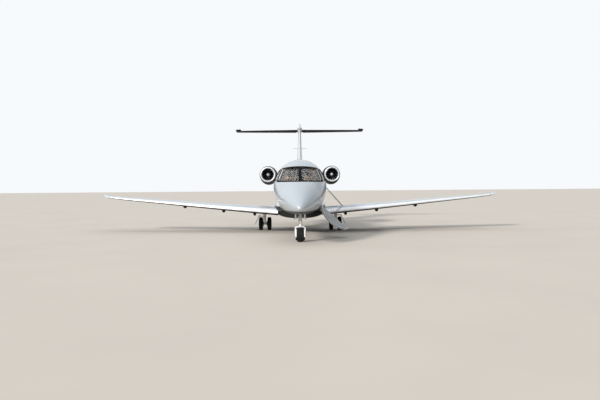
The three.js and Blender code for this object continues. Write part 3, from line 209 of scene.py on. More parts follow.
# the brake's profile: distance along the axle, radius
BRAKE = [(0.06, 0.03), (0.06, 0.095), (0.068, 0.1), (0.11, 0.1), (0.117, 0.09), (0.117, 0.03), (0.06, 0.03)]
GEAR_PIPE = 0.006

STAIR = {"x": 0.705, "z": 1.19, "swing": 133, "skin": 0.06, "chord": 0.655, "run": 0.204, "rise": 0.19}
STAIR_TREADS = 4
RAIL_RADIUS = 0.009
STAIR_POST = {"foot": (0.46, -0.4), "head": (0.827, -0.035)}
STAIR_RAIL_END = (0.16, 0.72)
STAIR_HINGES = (3.62, 4.08)
CARGO_HINGES = (9.2, 9.95)
CARGO_HINGE = (0.722, 2.512)
CARGO_DOOR_SKIN = 0.085


def station(distance):
    return distance - LENGTH / 2


# Modelling


def clear():
    """Back to object mode, with nothing selected."""
    if bpy.context.mode != "OBJECT":
        bpy.ops.object.mode_set(mode="OBJECT")
    bpy.ops.object.select_all(action="DESELECT")


def pick(*pieces):
    clear()
    for piece in pieces:
        piece.select_set(True)
    bpy.context.view_layer.objects.active = pieces[0]
    return pieces[0]


@contextmanager
def editing(piece, action="SELECT"):
    pick(piece)
    bpy.ops.object.mode_set(mode="EDIT")
    bpy.ops.mesh.select_all(action=action)
    yield
    bpy.ops.object.mode_set(mode="OBJECT")


def place(piece):
    """Puts an object's turn and place into its mesh."""
    pick(piece)
    bpy.ops.object.transform_apply(location=True, rotation=True, scale=True)
    return piece


def close(piece):
    """Merges doubles, fills open ends and points all faces outwards."""
    with editing(piece):
        bpy.ops.mesh.remove_doubles(threshold=1e-5)
        bpy.ops.mesh.fill_holes(sides=0)
        bpy.ops.mesh.normals_make_consistent(inside=False)
    return piece


def tube(name, rings):
    """A closed skin through rings that have the same number of points."""
    clear()
    bpy.ops.mesh.primitive_circle_add(vertices=len(rings[0]), radius=1)
    piece = bpy.context.object
    piece.name = name
    with editing(piece):
        for _ in rings[1:]:
            bpy.ops.mesh.extrude_region_move(TRANSFORM_OT_translate={"value": (0, 0, 1)})
    piece.data.vertices.foreach_set("co", [value for ring in rings for point in ring for value in point])
    return close(piece)


def modify(piece, kind, **settings):
    pick(piece)
    modifier = piece.modifiers.new(kind, kind)
    for key, value in settings.items():
        setattr(modifier, key, value)
    bpy.ops.object.modifier_apply(modifier=modifier.name)
    return piece


def carve(piece, tool, operation="DIFFERENCE", keep=False):
    """Cuts a closed piece by another, which is used up unless it is kept."""
    modify(piece, "BOOLEAN", object=tool, operation=operation, solver="MANIFOLD")
    if not keep:
        bpy.data.objects.remove(tool)
    return piece


def copy(piece, name):
    pick(piece)
    bpy.ops.object.duplicate()
    made = bpy.context.object
    made.name = name
    return made


def join(name, *pieces):
    pick(*pieces)
    bpy.ops.object.join()
    piece = bpy.context.object
    piece.name = name
    return piece


def flip(piece):
    """Moves a piece to the other side of the aircraft."""
    piece.scale.x = -1
    place(piece)
    with editing(piece):
        bpy.ops.mesh.normals_make_consistent(inside=False)
    return piece


def mirrored(piece, name):
    return flip(copy(piece, name))


def turn(piece, degrees, axis, centre):
    """Turns a piece about a line through a point, in place."""
    rotation = Matrix.Rotation(math.radians(degrees), 4, axis)
    piece.matrix_world = Matrix.Translation(centre) @ rotation @ Matrix.Translation(-Vector(centre))
    return place(piece)


def move(piece, offset):
    piece.location = offset
    return place(piece)


def bevel(piece, width, segments=2, angle=40):
    return modify(
        piece, "BEVEL", width=width, segments=segments, limit_method="ANGLE", angle_limit=math.radians(angle)
    )


def block(name, low, high, edge=0.0, segments=2):
    """A box between two corners, with its edges rounded."""
    clear()
    middle = [(a + b) / 2 for a, b in zip(low, high)]
    size = [abs(b - a) for a, b in zip(low, high)]
    bpy.ops.mesh.primitive_cube_add(size=1, location=middle, scale=size)
    piece = place(bpy.context.object)
    piece.name = name
    return bevel(piece, edge, segments) if edge else piece


def rod(name, start, end, radius, sides=24, edge=0.0, end_radius=None):
    """A round bar between two points."""
    clear()
    start, end = Vector(start), Vector(end)
    along = end - start
    bpy.ops.mesh.primitive_cone_add(
        vertices=sides,
        radius1=radius,
        radius2=radius if end_radius is None else end_radius,
        depth=along.length,
        location=(start + end) / 2,
        rotation=along.to_track_quat("Z", "Y").to_euler(),
    )
    piece = place(bpy.context.object)
    piece.name = name
    return bevel(piece, edge) if edge else piece


AXES = {
    # the two directions of a section across each axis
    "X": (Vector((0, 1, 0)), Vector((0, 0, 1)), Vector((1, 0, 0))),
    "Y": (Vector((0, 0, 1)), Vector((1, 0, 0)), Vector((0, 1, 0))),
    "Z": (Vector((1, 0, 0)), Vector((0, 1, 0)), Vector((0, 0, 1))),
}


def circle(sides, start=0.5):
    """Cosines and sines round a circle, the first one a share of a step from its beginning."""
    angles = [TAU * (n + start) / sides for n in range(sides)]
    return [(math.cos(a), math.sin(a)) for a in angles]


def turned(name, profile, centre, axis="Y", sides=64):
    """A profile of distance along an axis and radius, turned about it."""
    u, v, along = AXES[axis]
    rings = []
    for distance, radius in profile:
        middle = Vector(centre) + along * distance
        rings.append([middle + radius * (c * u + s * v) for c, s in circle(sides)])
    return tube(name, rings)


def prism(name, outline, axis, low, high):
    """An outline carried along an axis; its points are (y, z), (x, z) or (x, y)."""
    order = {"X": (1, 2), "Y": (0, 2), "Z": (0, 1)}[axis]
    index = "XYZ".index(axis)

    def ring(depth):
        points = []
        for a, b in outline:
            point = [0.0, 0.0, 0.0]
            point[order[0]], point[order[1]], point[index] = a, b, depth
            points.append(point)
        return points

    return tube(name, [ring(low), ring(high)])


def cubic(start, end, leaving, arriving, t):
    """A point on the way between two, with the tangents at both."""
    return (
        start * (2 * t**3 - 3 * t**2 + 1)
        + leaving * (t**3 - 2 * t**2 + t)
        + end * (3 * t**2 - 2 * t**3)
        + arriving * (t**3 - t**2)
    )


def curve(points, pieces=6):
    """More points on a smooth curve through a few."""
    points = [Vector(p) for p in points]
    ends = [2 * points[0] - points[1], *points, 2 * points[-1] - points[-2]]
    made = []
    for a, b, c, d in zip(ends, ends[1:], ends[2:], ends[3:]):
        reach = (c - b).length
        first = (c - a) * reach / max(1e-9, (b - a).length + reach)
        last = (d - b) * reach / max(1e-9, (d - c).length + reach)
        made += [cubic(b, c, first, last, n / pieces) for n in range(pieces)]
    return [*made, points[-1]]


def smooth(points, pieces):
    return [tuple(p) for p in curve(points, pieces)]


def pipe(name, points, radius, sides=8, pieces=6):
    """A round line along a smooth path."""
    path = curve(points, pieces)
    rings = []
    side = None
    for n, point in enumerate(path):
        along = (path[min(n + 1, len(path) - 1)] - path[max(n - 1, 0)]).normalized()
        side = along.orthogonal() if side is None else side - along * side.dot(along)
        side.normalize()
        up = along.cross(side)
        rings.append([point + radius * (c * side + s * up) for c, s in circle(sides, 0)])
    return tube(name, rings)


def rounded(outline, radius, steps=5):
    """An outline with its corners rounded; radius is one number or one for each corner."""
    count = len(outline)
    radii = radius if isinstance(radius, (list, tuple)) else [radius] * count
    made = []
    for n, corner in enumerate(outline):
        here, before, after = Vector(corner), Vector(outline[n - 1]), Vector(outline[(n + 1) % count])
        back, ahead = (before - here).normalized(), (after - here).normalized()
        reach = radii[n] / math.tan(max(0.05, back.angle(ahead) / 2))
        if reach < 1e-6:
            made.append(tuple(here))
            continue
        start, end = here + back * reach, here + ahead * reach
        for k in range(steps + 1):
            t = k / steps
            point = start * (1 - t) ** 2 + here * 2 * t * (1 - t) + end * t**2
            made.append(tuple(point))
    return made


def steps(first, last, spacing):
    count = max(1, round(abs(last - first) / spacing))
    return [first + (last - first) * n / count for n in range(count + 1)]


def between(table, where, scale=lambda value: value):
    """A row between a table's rows, on a curve through them that never swings past them."""
    last = len(table) - 1
    n = next((k for k in range(1, last + 1) if table[k][0] >= where), last)
    rows = [table[max(0, n - 2)], table[n - 1], table[n], table[min(last, n + 1)]]
    at = [scale(row[0]) for row in rows]
    long = at[2] - at[1]
    t = (scale(where) - at[1]) / long

    def tangent(rise, run, middle):
        other = rise / run if run else middle
        return 2 * other * middle / (other + middle) if other * middle > 0 else 0.0

    row = [where]
    for p0, p1, p2, p3 in list(zip(*rows))[1:]:
        middle = (p2 - p1) / long
        first = tangent(p1 - p0, at[1] - at[0], middle) * long
        second = tangent(p3 - p2, at[3] - at[2], middle) * long
        row.append(cubic(p1, p2, first, second, t))
    return row


# Materials


def feed(tree, sockets, values):
    """Links or sets each socket."""
    for socket, value in dict(values).items():
        if isinstance(value, bpy.types.NodeSocket):
            tree.links.new(value, sockets[socket])
        else:
            sockets[socket].default_value = value


def node(tree, kind, inputs=(), **settings):
    made = tree.nodes.new("ShaderNode" + kind)
    for key, value in settings.items():
        setattr(made, key, value)
    feed(tree, made.inputs, inputs)
    return made


def calc(tree, operation, *terms, **settings):
    return node(tree, "Math", enumerate(terms), operation=operation, **settings).outputs[0]


def mix(tree, share, first, second):
    return node(tree, "Mix", {0: share, 6: first, 7: second}, data_type="RGBA").outputs[2]


def opaque(colour):
    return (*colour, 1)


def new_group(name, inputs, outputs):
    tree = bpy.data.node_groups.new(name, "ShaderNodeTree")
    for kind, sockets in (("INPUT", inputs), ("OUTPUT", outputs)):
        for socket, what, *start in sockets:
            made = tree.interface.new_socket(name=socket, in_out=kind, socket_type="NodeSocket" + what)
            if start:
                made.default_value = start[0]
    return tree, tree.nodes.new("NodeGroupInput").outputs, tree.nodes.new("NodeGroupOutput").inputs


FINE = 14.0  # how much smaller the fine pattern is than the slow one


def weathered_group():
    """Slow and fine changes of colour and gloss, from a noise on the object."""
    tree, given, out = new_group(
        "weathered",
        [
            ("Point", "Vector"),
            ("Colour", "Color"),
            ("Dirt", "Color"),
            ("Amount", "Float"),
            ("Scale", "Float"),
            ("Roughness", "Float"),
            ("Spread", "Float"),
        ],
        [("Colour", "Color"), ("Roughness", "Float"), ("Height", "Float")],
    )
    slow = node(
        tree, "TexNoise", {"Vector": given["Point"], "Scale": given["Scale"], "Detail": 6.0}
    ).outputs[0]
    fine_scale = calc(tree, "MULTIPLY", given["Scale"], FINE)
    fine = node(tree, "TexNoise", {"Vector": given["Point"], "Scale": fine_scale, "Detail": 3.0}).outputs[0]
    mask = node(tree, "MapRange", {"Value": slow, 1: 0.42, 2: 0.72}).outputs[0]
    dirt = calc(tree, "MULTIPLY", mask, given["Amount"])
    colour = mix(tree, dirt, given["Colour"], given["Dirt"])
    swing = calc(tree, "SUBTRACT", calc(tree, "ADD", slow, fine), 1.0)
    change = calc(tree, "MULTIPLY", swing, given["Spread"])
    gloss = calc(tree, "ADD", given["Roughness"], change, use_clamp=True)
    feed(tree, out, {"Colour": colour, "Roughness": gloss, "Height": fine})
    return tree


def seams_group(name, seams):
    """A mask of thin seams where a direction times the point, with x taken as its size, has given values."""
    tree, given, out = new_group(name, [("Point", "Vector"), ("Width", "Float", 0.004)], [("Mask", "Float")])
    size = node(tree, "VectorMath", {0: given["Point"]}, operation="ABSOLUTE").outputs[0]
    across = node(tree, "SeparateXYZ", {0: size}).outputs[0]
    spot = node(tree, "SeparateXYZ", {0: given["Point"]}).outputs
    folded = node(tree, "CombineXYZ", {0: across, 1: spot[1], 2: spot[2]}).outputs[0]
    total = None
    for direction, value in seams:
        along = node(tree, "VectorMath", {0: folded, 1: direction}, operation="DOT_PRODUCT").outputs["Value"]
        hit = calc(tree, "COMPARE", along, value, given["Width"])
        total = hit if total is None else calc(tree, "MAXIMUM", total, hit)
    feed(tree, out, {"Mask": total})
    return tree


WEATHERED = weathered_group()


def blank(name):
    """A new material with its nodes, its shader's sockets and the piece's own coordinates."""
    material = bpy.data.materials.new(name)
    material.use_nodes = True
    tree = material.node_tree
    point = tree.nodes.new("ShaderNodeTexCoord").outputs["Object"]
    return material, tree, tree.nodes["Principled BSDF"].inputs, point


def finish(name, colour, roughness, metallic=0.0, dirt=None, amount=0.25, scale=2.0, spread=0.08,
           seams=None, grain=0.0, bump=0.0, shade_below_line=False, shader=()):
    """A painted, metal, rubber or moulded surface with changes of colour and gloss over it."""
    material, tree, sockets, point = blank(name)
    values = {
        "Point": point,
        "Colour": opaque(colour),
        "Dirt": opaque(dirt or [0.55 * c for c in colour]),
        "Amount": amount,
        "Scale": scale,
        "Roughness": roughness,
        "Spread": spread,
    }
    look = node(tree, "Group", values, node_tree=WEATHERED).outputs
    shade, height = look["Colour"], look["Height"]
    feed(tree, sockets, {"Metallic": metallic, "Roughness": look["Roughness"], **dict(shader)})
    # Below the belly line: near-black colour with no coat and no metal, painted shade under the fuselage.
    if shade_below_line:
        under = node(tree, "Group", {"Point": point}, node_tree=UNDER_THE_LINE).outputs["Mask"]
        shade = mix(tree, under, shade, opaque(PAINTED_SHADE_COLOUR))
        for socket, most in (("Coat Weight", COAT), ("Metallic", metallic)):
            part = node(tree, "MapRange", {"Value": under, 3: most, 4: 0.0}).outputs[0]
            feed(tree, sockets, {socket: part})
    if grain:
        height = node(tree, "TexNoise", {"Vector": point, "Scale": grain, "Detail": 2.0}).outputs[0]
    if seams:
        lines = node(tree, "Group", {"Point": point}, node_tree=seams).outputs["Mask"]
        shade = mix(tree, SEAM_STRENGTH, shade, mix(tree, lines, shade, opaque(SEAM_COLOUR)))
    feed(tree, sockets, {"Base Color": shade})
    if bump:
        relief = node(tree, "Bump", {"Height": height, "Strength": bump, "Distance": 0.002}).outputs[0]
        feed(tree, sockets, {"Normal": relief})
    return material


def clear_glass(name, colour, roughness=0.02, reflection=0.5, alpha=1.0):
    """Glass or clear plastic, tinted, with a faint haze that changes over it."""
    material, tree, sockets, point = blank(name)
    haze = node(tree, "TexNoise", {"Vector": point, "Scale": 3.0, "Detail": 4.0}).outputs[0]
    values = {
        "Base Color": opaque(colour),
        "Roughness": node(tree, "MapRange", {"Value": haze, 3: roughness, 4: roughness + 0.05}).outputs[0],
        "IOR": 1.45,
        "Transmission Weight": 1.0,
        "Specular IOR Level": reflection,
        "Alpha": alpha,
    }
    feed(tree, sockets, values)
    return material


def glow(name, colour, strength):
    """A lit screen whose light is a little uneven."""
    material, tree, sockets, point = blank(name)
    cells = node(tree, "TexVoronoi", {"Vector": point, "Scale": 60.0}).outputs[0]
    lit = mix(tree, cells, opaque(colour), opaque([0.6 * c for c in colour]))
    feed(tree, sockets, {"Base Color": opaque(colour), "Emission Color": lit, "Emission Strength": strength})
    return material


SEAM_COLOUR = (0.05, 0.055, 0.06)
SEAM_STRENGTH = 0.55
ALONG, UPWARD, SPANWISE = (0, 1, 0), (0, 0, 1), (1, 0, 0)
HULL_SEAMS = [(ALONG, station(s)) for s in (1.56, 5.15, 6.85, 8.6, 10.2, 11.2, 12.8, 14.2, 15.3)]
HULL_SEAMS += [(UPWARD, EAVES)]
SWEEP = (-0.2217, 1, 0)
WING_SEAMS = [(SPANWISE, x) for x in (1.5, 2.3, 3.2, 4.15, 5.1, 5.56, 6.4, 7.3, 7.95)]
WING_SEAMS += [(SWEEP, station(6.12)), ((-0.08, 1, 0), station(7.2)), ((0.03, 1, 0), station(7.86))]
TAIL_SEAMS = [(UPWARD, z) for z in (3.3, 3.9, 4.5)] + [(SPANWISE, x) for x in (0.9, 1.8, 2.7)]
COWL_SEAMS = [
    *[(ALONG, station(ENGINE["lip"] + d)) for d in (0.42, 1.62, 2.3)],
    (UPWARD, ENGINE["z"] + 0.02),
]

COAT = 0.75
CLEAR_COAT = {"Coat Weight": COAT, "Coat Roughness": 0.08, "Specular IOR Level": 0.05}
MATT = {"Specular IOR Level": 0.05}
SATIN = {"Specular IOR Level": 0.25}
SILVER_BLUE = (0.47, 0.515, 0.555)
PALE_SILVER = (0.64, 0.67, 0.7)
# Near-black for painted shade: the hull below the belly line, the downward faces of wings and tail, the
# nacelles and pylons.
PAINTED_SHADE_COLOUR = (0.014, 0.015, 0.017)
BELLY_LINE = {"height": 1.08, "start": 10.8, "rise": 0.25}


def belly_group():
    """A mask of what lies under a line which climbs along the rear fuselage, where the hull gets painted
    shade.
    """
    tree, given, out = new_group("under_the_line", [("Point", "Vector")], [("Mask", "Float")])
    spot = node(tree, "SeparateXYZ", {0: given["Point"]}).outputs
    behind = calc(tree, "SUBTRACT", spot[1], station(BELLY_LINE["start"]))
    kept = calc(tree, "MAXIMUM", behind, 0.0)
    line = calc(tree, "MULTIPLY_ADD", kept, BELLY_LINE["rise"], BELLY_LINE["height"])
    feed(tree, out, {"Mask": calc(tree, "LESS_THAN", spot[2], line)})
    return tree


UNDER_THE_LINE = belly_group()


def paint(name, seams, colour=SILVER_BLUE, shade_below_line=False):
    look = {"metallic": 0.35, "amount": 0.12, "scale": 0.8, "spread": 0.05, "shader": CLEAR_COAT}
    return finish(name, colour, 0.3, seams=seams, shade_below_line=shade_below_line, **look)


# The hull's underside below the belly line is near-black, painted shade.
HULL_PAINT = paint("hull_paint", seams_group("hull_seams", HULL_SEAMS), shade_below_line=True)
WING_PAINT = paint("wing_paint", seams_group("wing_seams", WING_SEAMS))
TAIL_PAINT = paint("tail_paint", seams_group("tail_seams", TAIL_SEAMS), PALE_SILVER)
PLAIN_PAINT = paint("plain_paint", None)
# Painted shade: near-black for the downward faces of the wings, flaps, ailerons, tailplane and elevators.
UNDERSIDE_SHADE = finish(
    "painted_underside_shade", PAINTED_SHADE_COLOUR, 0.55, dirt=(0.022, 0.022, 0.022), scale=1.5, shader=MATT
)
COWL_LINES = seams_group("cowl_seams", COWL_SEAMS)
# Painted shade and dark reflections: the nacelles and pylons are near-black all round.
COWL_SHADE_PAINT = finish(
    "cowl_painted_shade", PAINTED_SHADE_COLOUR, 0.45, dirt=(0.03, 0.03, 0.03), scale=1.5, seams=COWL_LINES, shader=MATT
)
EDGE_GREY = finish("window_edge", (0.8, 0.82, 0.83), 0.4, dirt=(0.5, 0.5, 0.5), scale=5.0)
BRIGHT_EDGE = finish(
    "polished_edge", (0.9, 0.91, 0.92), 0.36, metallic=0.55, dirt=(0.6, 0.6, 0.6), scale=3.0
)
BOOT = finish("rubber_boot", (0.01, 0.01, 0.011), 0.55, dirt=(0.03, 0.03, 0.03), scale=4.0, shader=MATT)
FRAME_BLACK = finish(
    "window_frame", (0.008, 0.008, 0.009), 0.6, dirt=(0.02, 0.02, 0.02), scale=5.0, shader=MATT
)
SEAL = finish("door_seal", (0.03, 0.03, 0.032), 0.7, dirt=(0.09, 0.09, 0.09), grain=300.0, bump=0.2)
GEAR_PAINT = finish("gear_paint", (0.9, 0.91, 0.9), 0.38, dirt=(0.45, 0.43, 0.4), scale=7.0, amount=0.25)
CHROME = finish("chrome", (0.87, 0.88, 0.9), 0.08, metallic=1.0, amount=0.1, scale=9.0, spread=0.05)
RAIL_METAL = finish("rail_metal", (0.3, 0.31, 0.33), 0.22, metallic=1.0, amount=0.2, scale=9.0, spread=0.05)
STEEL = finish("bare_steel", (0.5, 0.51, 0.53), 0.32, metallic=1.0, dirt=(0.2, 0.19, 0.18), scale=12.0)
DARK_METAL = finish("dark_metal", (0.09, 0.09, 0.1), 0.42, metallic=0.8, dirt=(0.03, 0.03, 0.03), scale=6.0)
FAN_METAL = finish("fan_metal", (0.42, 0.43, 0.46), 0.28, metallic=1.0, dirt=(0.2, 0.2, 0.21), scale=10.0)
EXHAUST = finish("exhaust_metal", (0.3, 0.25, 0.21), 0.38, metallic=1.0, dirt=(0.08, 0.07, 0.09), amount=0.7)
DUCT = finish(
    "duct_liner", (0.09, 0.092, 0.1), 0.55, dirt=(0.05, 0.05, 0.05), scale=8.0, grain=220.0, bump=0.3
)
RUBBER = {"dirt": (0.035, 0.033, 0.03), "scale": 14.0, "grain": 500.0, "bump": 0.35, "shader": SATIN}
TYRE = finish("tyre_rubber", (0.01, 0.01, 0.0105), 0.75, **RUBBER)
TRIM = finish(
    "cabin_trim", (0.7, 0.54, 0.38), 0.6, dirt=(0.55, 0.38, 0.25), scale=5.0, grain=400.0, bump=0.2
)
STAIR_PAINT = finish("stair_paint", (0.56, 0.6, 0.63), 0.36, dirt=(0.25, 0.25, 0.25), scale=6.0, amount=0.3)
STAIR_RIM = finish("stair_rim", (0.8, 0.82, 0.84), 0.32, dirt=(0.5, 0.5, 0.5), scale=6.0, amount=0.3)
TREAD_GRIP = finish("tread_grip", (0.035, 0.035, 0.037), 0.85, dirt=(0.12, 0.11, 0.1), grain=700.0, bump=0.8)
PANEL_BLACK = finish(
    "panel_black", (0.025, 0.026, 0.028), 0.55, dirt=(0.06, 0.06, 0.06), grain=500.0, bump=0.3
)
LEATHER = finish(
    "leather", (0.42, 0.28, 0.18), 0.5, dirt=(0.3, 0.19, 0.12), scale=8.0, grain=260.0, bump=0.4
)
CARPET = finish(
    "carpet", (0.13, 0.11, 0.095), 0.95, dirt=(0.2, 0.17, 0.15), scale=20.0, grain=900.0, bump=1.0
)
SPINNER_PAINT = finish("spinner_paint", (0.74, 0.75, 0.77), 0.3, metallic=0.3, scale=9.0)
GLASS = clear_glass("windscreen_glass", (0.92, 0.86, 0.7), reflection=0.2, alpha=0.45)
CABIN_GLASS = clear_glass("cabin_glass", (0.3, 0.32, 0.34))
LENS = clear_glass("clear_lens", (0.95, 0.96, 0.97), 0.01)
RED_LENS = clear_glass("red_lens", (0.8, 0.05, 0.04))
GREEN_LENS = clear_glass("green_lens", (0.05, 0.62, 0.25))
SCREEN = glow("screen", (0.05, 0.11, 0.16), 0.6)


def dress(piece, material):
    piece.data.materials.clear()
    piece.data.materials.append(material)
    return piece


def dress_faces(piece, material, test):
    """Gives the faces whose centre passes a test a finish of their own."""
    piece.data.materials.append(material)
    index = len(piece.data.materials) - 1
    for face in piece.data.polygons:
        if test(face):
            face.material_index = index
    return piece


def hang(piece, body, *nodes, angle=35):
    """Shades a finished piece and hangs it on a body, in place of the nodes it stands for."""
    pick(piece)
    bpy.ops.object.shade_smooth_by_angle(angle=math.radians(angle))
    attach(piece, body)
    if nodes:
        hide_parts(*nodes)
    return piece


# Camera, floor and light

FOCAL_SHARE = 1.0  # focal length over the picture's width
SENSOR = 36.0
PICTURE = (600, 400)
HORIZON_ROW = 189.6  # the picture's row where the horizon lies
ROLL = 0.44
CAMERA_AHEAD = 18.0
CAMERA_HEIGHT = 1.75
FLOOR_SIZE = 1600


def camera():
    data = bpy.data.cameras.new("camera")
    data.sensor_width = SENSOR
    data.lens = SENSOR * FOCAL_SHARE
    data.shift_y = (HORIZON_ROW - PICTURE[1] / 2) / PICTURE[0]
    data.clip_end = 2000
    made = bpy.data.objects.new("camera", data)
    bpy.context.scene.collection.objects.link(made)
    made.location = (0, station(-CAMERA_AHEAD), CAMERA_HEIGHT)
    made.rotation_euler = (math.pi / 2, math.radians(ROLL), 0)
    bpy.context.scene.camera = made


def floor():
    clear()
    bpy.ops.mesh.primitive_plane_add(size=FLOOR_SIZE, location=(0, 0, -0.0005))
    made = bpy.context.object
    made.name = "floor"
    look = {"amount": 0.1, "scale": 0.3, "spread": 0.05, "shader": MATT}
    dress(made, finish("pale_floor", (0.56, 0.515, 0.46), 0.9, **look))


SUN = {"elevation": 27, "from_left": 38, "strength": 3.2, "softness": 9}
BACKDROP = (0.93, 0.95, 0.97)
SKY = (0.84, 0.88, 0.92)
LOW_SKY = (0.1, 0.1, 0.1)
FAR_SIDE = 0.5  # how bright the side away from the key light is
LOW_SKY_TOP = (0.03, 0.1)  # the height, as a sine, where the dark band fades out


def sun():
    data = bpy.data.lights.new("key", "SUN")
    data.energy = SUN["strength"]
    data.angle = math.radians(SUN["softness"])
    data.color = (1.0, 0.97, 0.93)
    made = bpy.data.objects.new("key", data)
    bpy.context.scene.collection.objects.link(made)
    turned_by = math.radians(SUN["from_left"])
    up = math.radians(SUN["elevation"])
    level = Vector((-math.sin(turned_by), -math.cos(turned_by), 0))
    towards = level * math.cos(up) + Vector((0, 0, math.sin(up)))
    made.location = towards * 30
    made.rotation_euler = towards.to_track_quat("Z", "Y").to_euler()


def soft_room():
    """A pale room whose walls, for reflections, are dark low down as a line of trees is."""
    world = bpy.data.worlds.new("soft_room")
    world.use_nodes = True
    tree = world.node_tree
    direction = tree.nodes.new("ShaderNodeTexCoord").outputs["Generated"]
    spot = node(tree, "SeparateXYZ", {0: direction}).outputs
    share = node(tree, "MapRange", {"Value": spot[2], 1: LOW_SKY_TOP[0], 2: LOW_SKY_TOP[1]}).outputs[0]
    walls = mix(tree, share, opaque(LOW_SKY), opaque(SKY))
    shade = node(tree, "MapRange", {"Value": spot[0], 1: 0.2, 2: 0.9, 3: 1.0, 4: FAR_SIDE}).outputs[0]
    walls = node(tree, "VectorMath", {0: walls, "Scale": shade}, operation="SCALE").outputs[0]
    seen = tree.nodes.new("ShaderNodeLightPath").outputs["Is Camera Ray"]
    feed(tree, tree.nodes["Background"].inputs, {0: mix(tree, seen, walls, opaque(BACKDROP)), 1: 1.0})
    bpy.context.scene.world = world
    bpy.context.scene.view_settings.view_transform = "Standard"


# Fuselage


def hull_row(where):
    return between(HULL, where, scale=math.sqrt)


def oval(y, bottom, top, widest, half, power, sides):
    ring = []
    for c, s in circle(sides):
        rise = top - widest if s > 0 else widest - bottom
        x = half * math.copysign(abs(c) ** (2 / power), c)
        z = widest + rise * math.copysign(abs(s) ** (2 / power), s)
        ring.append((x, y, z))
    return ring


NOSE_RINGS = 22
RING_GAPS = ((3.5, 0.05), (CABIN_END, 0.45), (LENGTH, 0.15))  # the rings' spacing up to a station, roughly


def hull_places(first, last):
    """Stations for the hull's rings: close together where its lines bend."""
    marks = sorted({first, last, *(m for m in (NOSE_JOINT, COCKPIT_END, CABIN_END) if first < m < last)})
    places = [first]
    for a, b in zip(marks, marks[1:]):
        if b <= NOSE_JOINT:
            near = [NOSE_JOINT * (n / NOSE_RINGS) ** 2 for n in range(1, NOSE_RINGS)]
            places += [s for s in near if a < s < b - 0.01] + [b]
        else:
            places += steps(a, b, next(gap for limit, gap in RING_GAPS if b <= limit))[1:]
    return places


def hull(name, first, last, inset=0.0, sides=HULL_SIDES):
    """The fuselage between two stations, as a solid that lies `inset` inside the skin."""
    rings = []
    for where in hull_places(first, last):
        _, bottom, top, widest, half, power = hull_row(min(where, TAIL_END))
        inner = min(inset, half * 0.98)
        rings.append(oval(station(where), bottom + inner, top - inner, widest, half - inner, power, sides))
    return tube(name, rings)


def under_skin(point):
    """How deep a point lies below the hull's skin, roughly."""
    where = min(max(point.y + LENGTH / 2, 0.001), TAIL_END)
    _, bottom, top, widest, half, power = hull_row(where)
    rise = top - widest if point.z > widest else widest - bottom
    radius = (abs(point.x / half) ** power + abs((point.z - widest) / rise) ** power) ** (1 / power)
    return (1 - radius) * min(half, rise)


def line_inside(piece, material, depth=0.006):
    return dress_faces(piece, material, lambda face: under_skin(face.center) > depth)


FAR = 12  # further than any piece reaches


def within(piece, low=(-FAR, -FAR, -FAR), high=(FAR, FAR, FAR)):
    """What of a piece lies between two corners."""
    return carve(piece, block("tool", low, high), "INTERSECT")


def above(piece, z):
    return within(piece, low=(-FAR, -FAR, z))


def below(piece, z):
    return within(piece, high=(FAR, FAR, z))


def side_of(piece, side):
    low, high = sorted((0, side * FAR))
    return within(piece, (low, -FAR, -FAR), (high, FAR, FAR))


def stations(piece, first, last):
    return within(piece, (-FAR, station(first), -FAR), (FAR, station(last), FAR))


def windscreen_tool(side, inset):
    """What fills one half of the windscreen, seen from ahead and limited behind by a line in plan."""
    w = WINDSCREEN
    post, foot, crown = w.post + inset if inset > -w.post / 2 else 0, w.foot + inset, w.crown - inset
    start, control, end = (w.head_half - inset, w.head - inset), (w.head_half * 0.55, crown), (post, crown)
    arch = []
    for n in range(ARCH_STEPS + 1):
        t = n / ARCH_STEPS
        corners = zip(start, control, end)
        arch.append(tuple(a * (1 - t) ** 2 + 2 * b * t * (1 - t) + c * t * t for a, b, c in corners))
    corner = 0.03 - inset if post else 0.002
    outline = [(post, foot), (w.foot_half - 1.6 * inset, foot), *arch]
    outline = rounded(outline, [corner, 3 * corner, *[0] * len(arch)])
    ahead = prism("tool", [(side * x, z) for x, z in outline], "Y", station(1.2), station(2.8))
    plan = [(side * x, station(s - 2 * inset)) for x, s in WINDSCREEN_PLAN]
    return carve(ahead, prism("tool", plan, "Z", 1.9, 2.6), "INTERSECT")


def side_window_tool(side, inset):
    cy, cz = SIDE_WINDOW_MIDDLE
    shrunk = [
        (station(s + inset * math.copysign(1, cy - s)), z + inset * math.copysign(1, cz - z))
        for s, z in SIDE_WINDOW
    ]
    low, high = sorted((side * 0.35, side * 1.2))
    return prism("tool", rounded(shrunk, 0.035), "X", low, high)


def cabin_window_tool(number, side, inset):
    w = CABIN_WINDOW
    cy = station(w["first"] + number * w["pitch"])
    half_y, half_z = w["half"][0] - inset, w["half"][1] - inset
    corner = w["corner"] - inset
    outline = []
    for c, s in circle(WINDOW_SIDES):
        y = cy + math.copysign(half_y - corner, c) + corner * c
        outline.append((y, w["middle"] + math.copysign(half_z - corner, s) + corner * s))
    low, high = sorted((side * 0.5, side * 1.2))
    return prism("tool", outline, "X", low, high)


def layer(first, last, outer, inner):
    """A thin shell that follows the skin, between two depths below it."""
    shell = hull("layer", first, last, outer)
    return carve(shell, hull("tool", first - 0.01, last + 0.01, inner))


def window_band(name, source, tool, wider, narrower, *place_args):
    """A flat band round a window opening, lying on the skin."""
    band = carve(copy(source, name), tool(*place_args, -wider), "INTERSECT")
    return carve(band, tool(*place_args, narrower))


def nose_cone():
    cone = dress(hull("nose_cone", 0.0, NOSE_JOINT - 0.0012), HULL_PAINT)
    hang(cone, "airframe", "nose_cone")


def cockpit_floor_pan():
    pan = below(hull("cockpit_floor_pan", NOSE_JOINT, COCKPIT_END - TOUCH), FLOOR - TOUCH)
    low, high = (-BAY["half"], station(BAY["first"]), 0), (BAY["half"], station(BAY["last"]), BAY_ROOF)
    bay = block("tool", low, high)
    dress(carve(pan, bay), HULL_PAINT)
    line_inside(pan, GEAR_PAINT)
    hang(pan, "airframe", "cockpit_floor_pan")


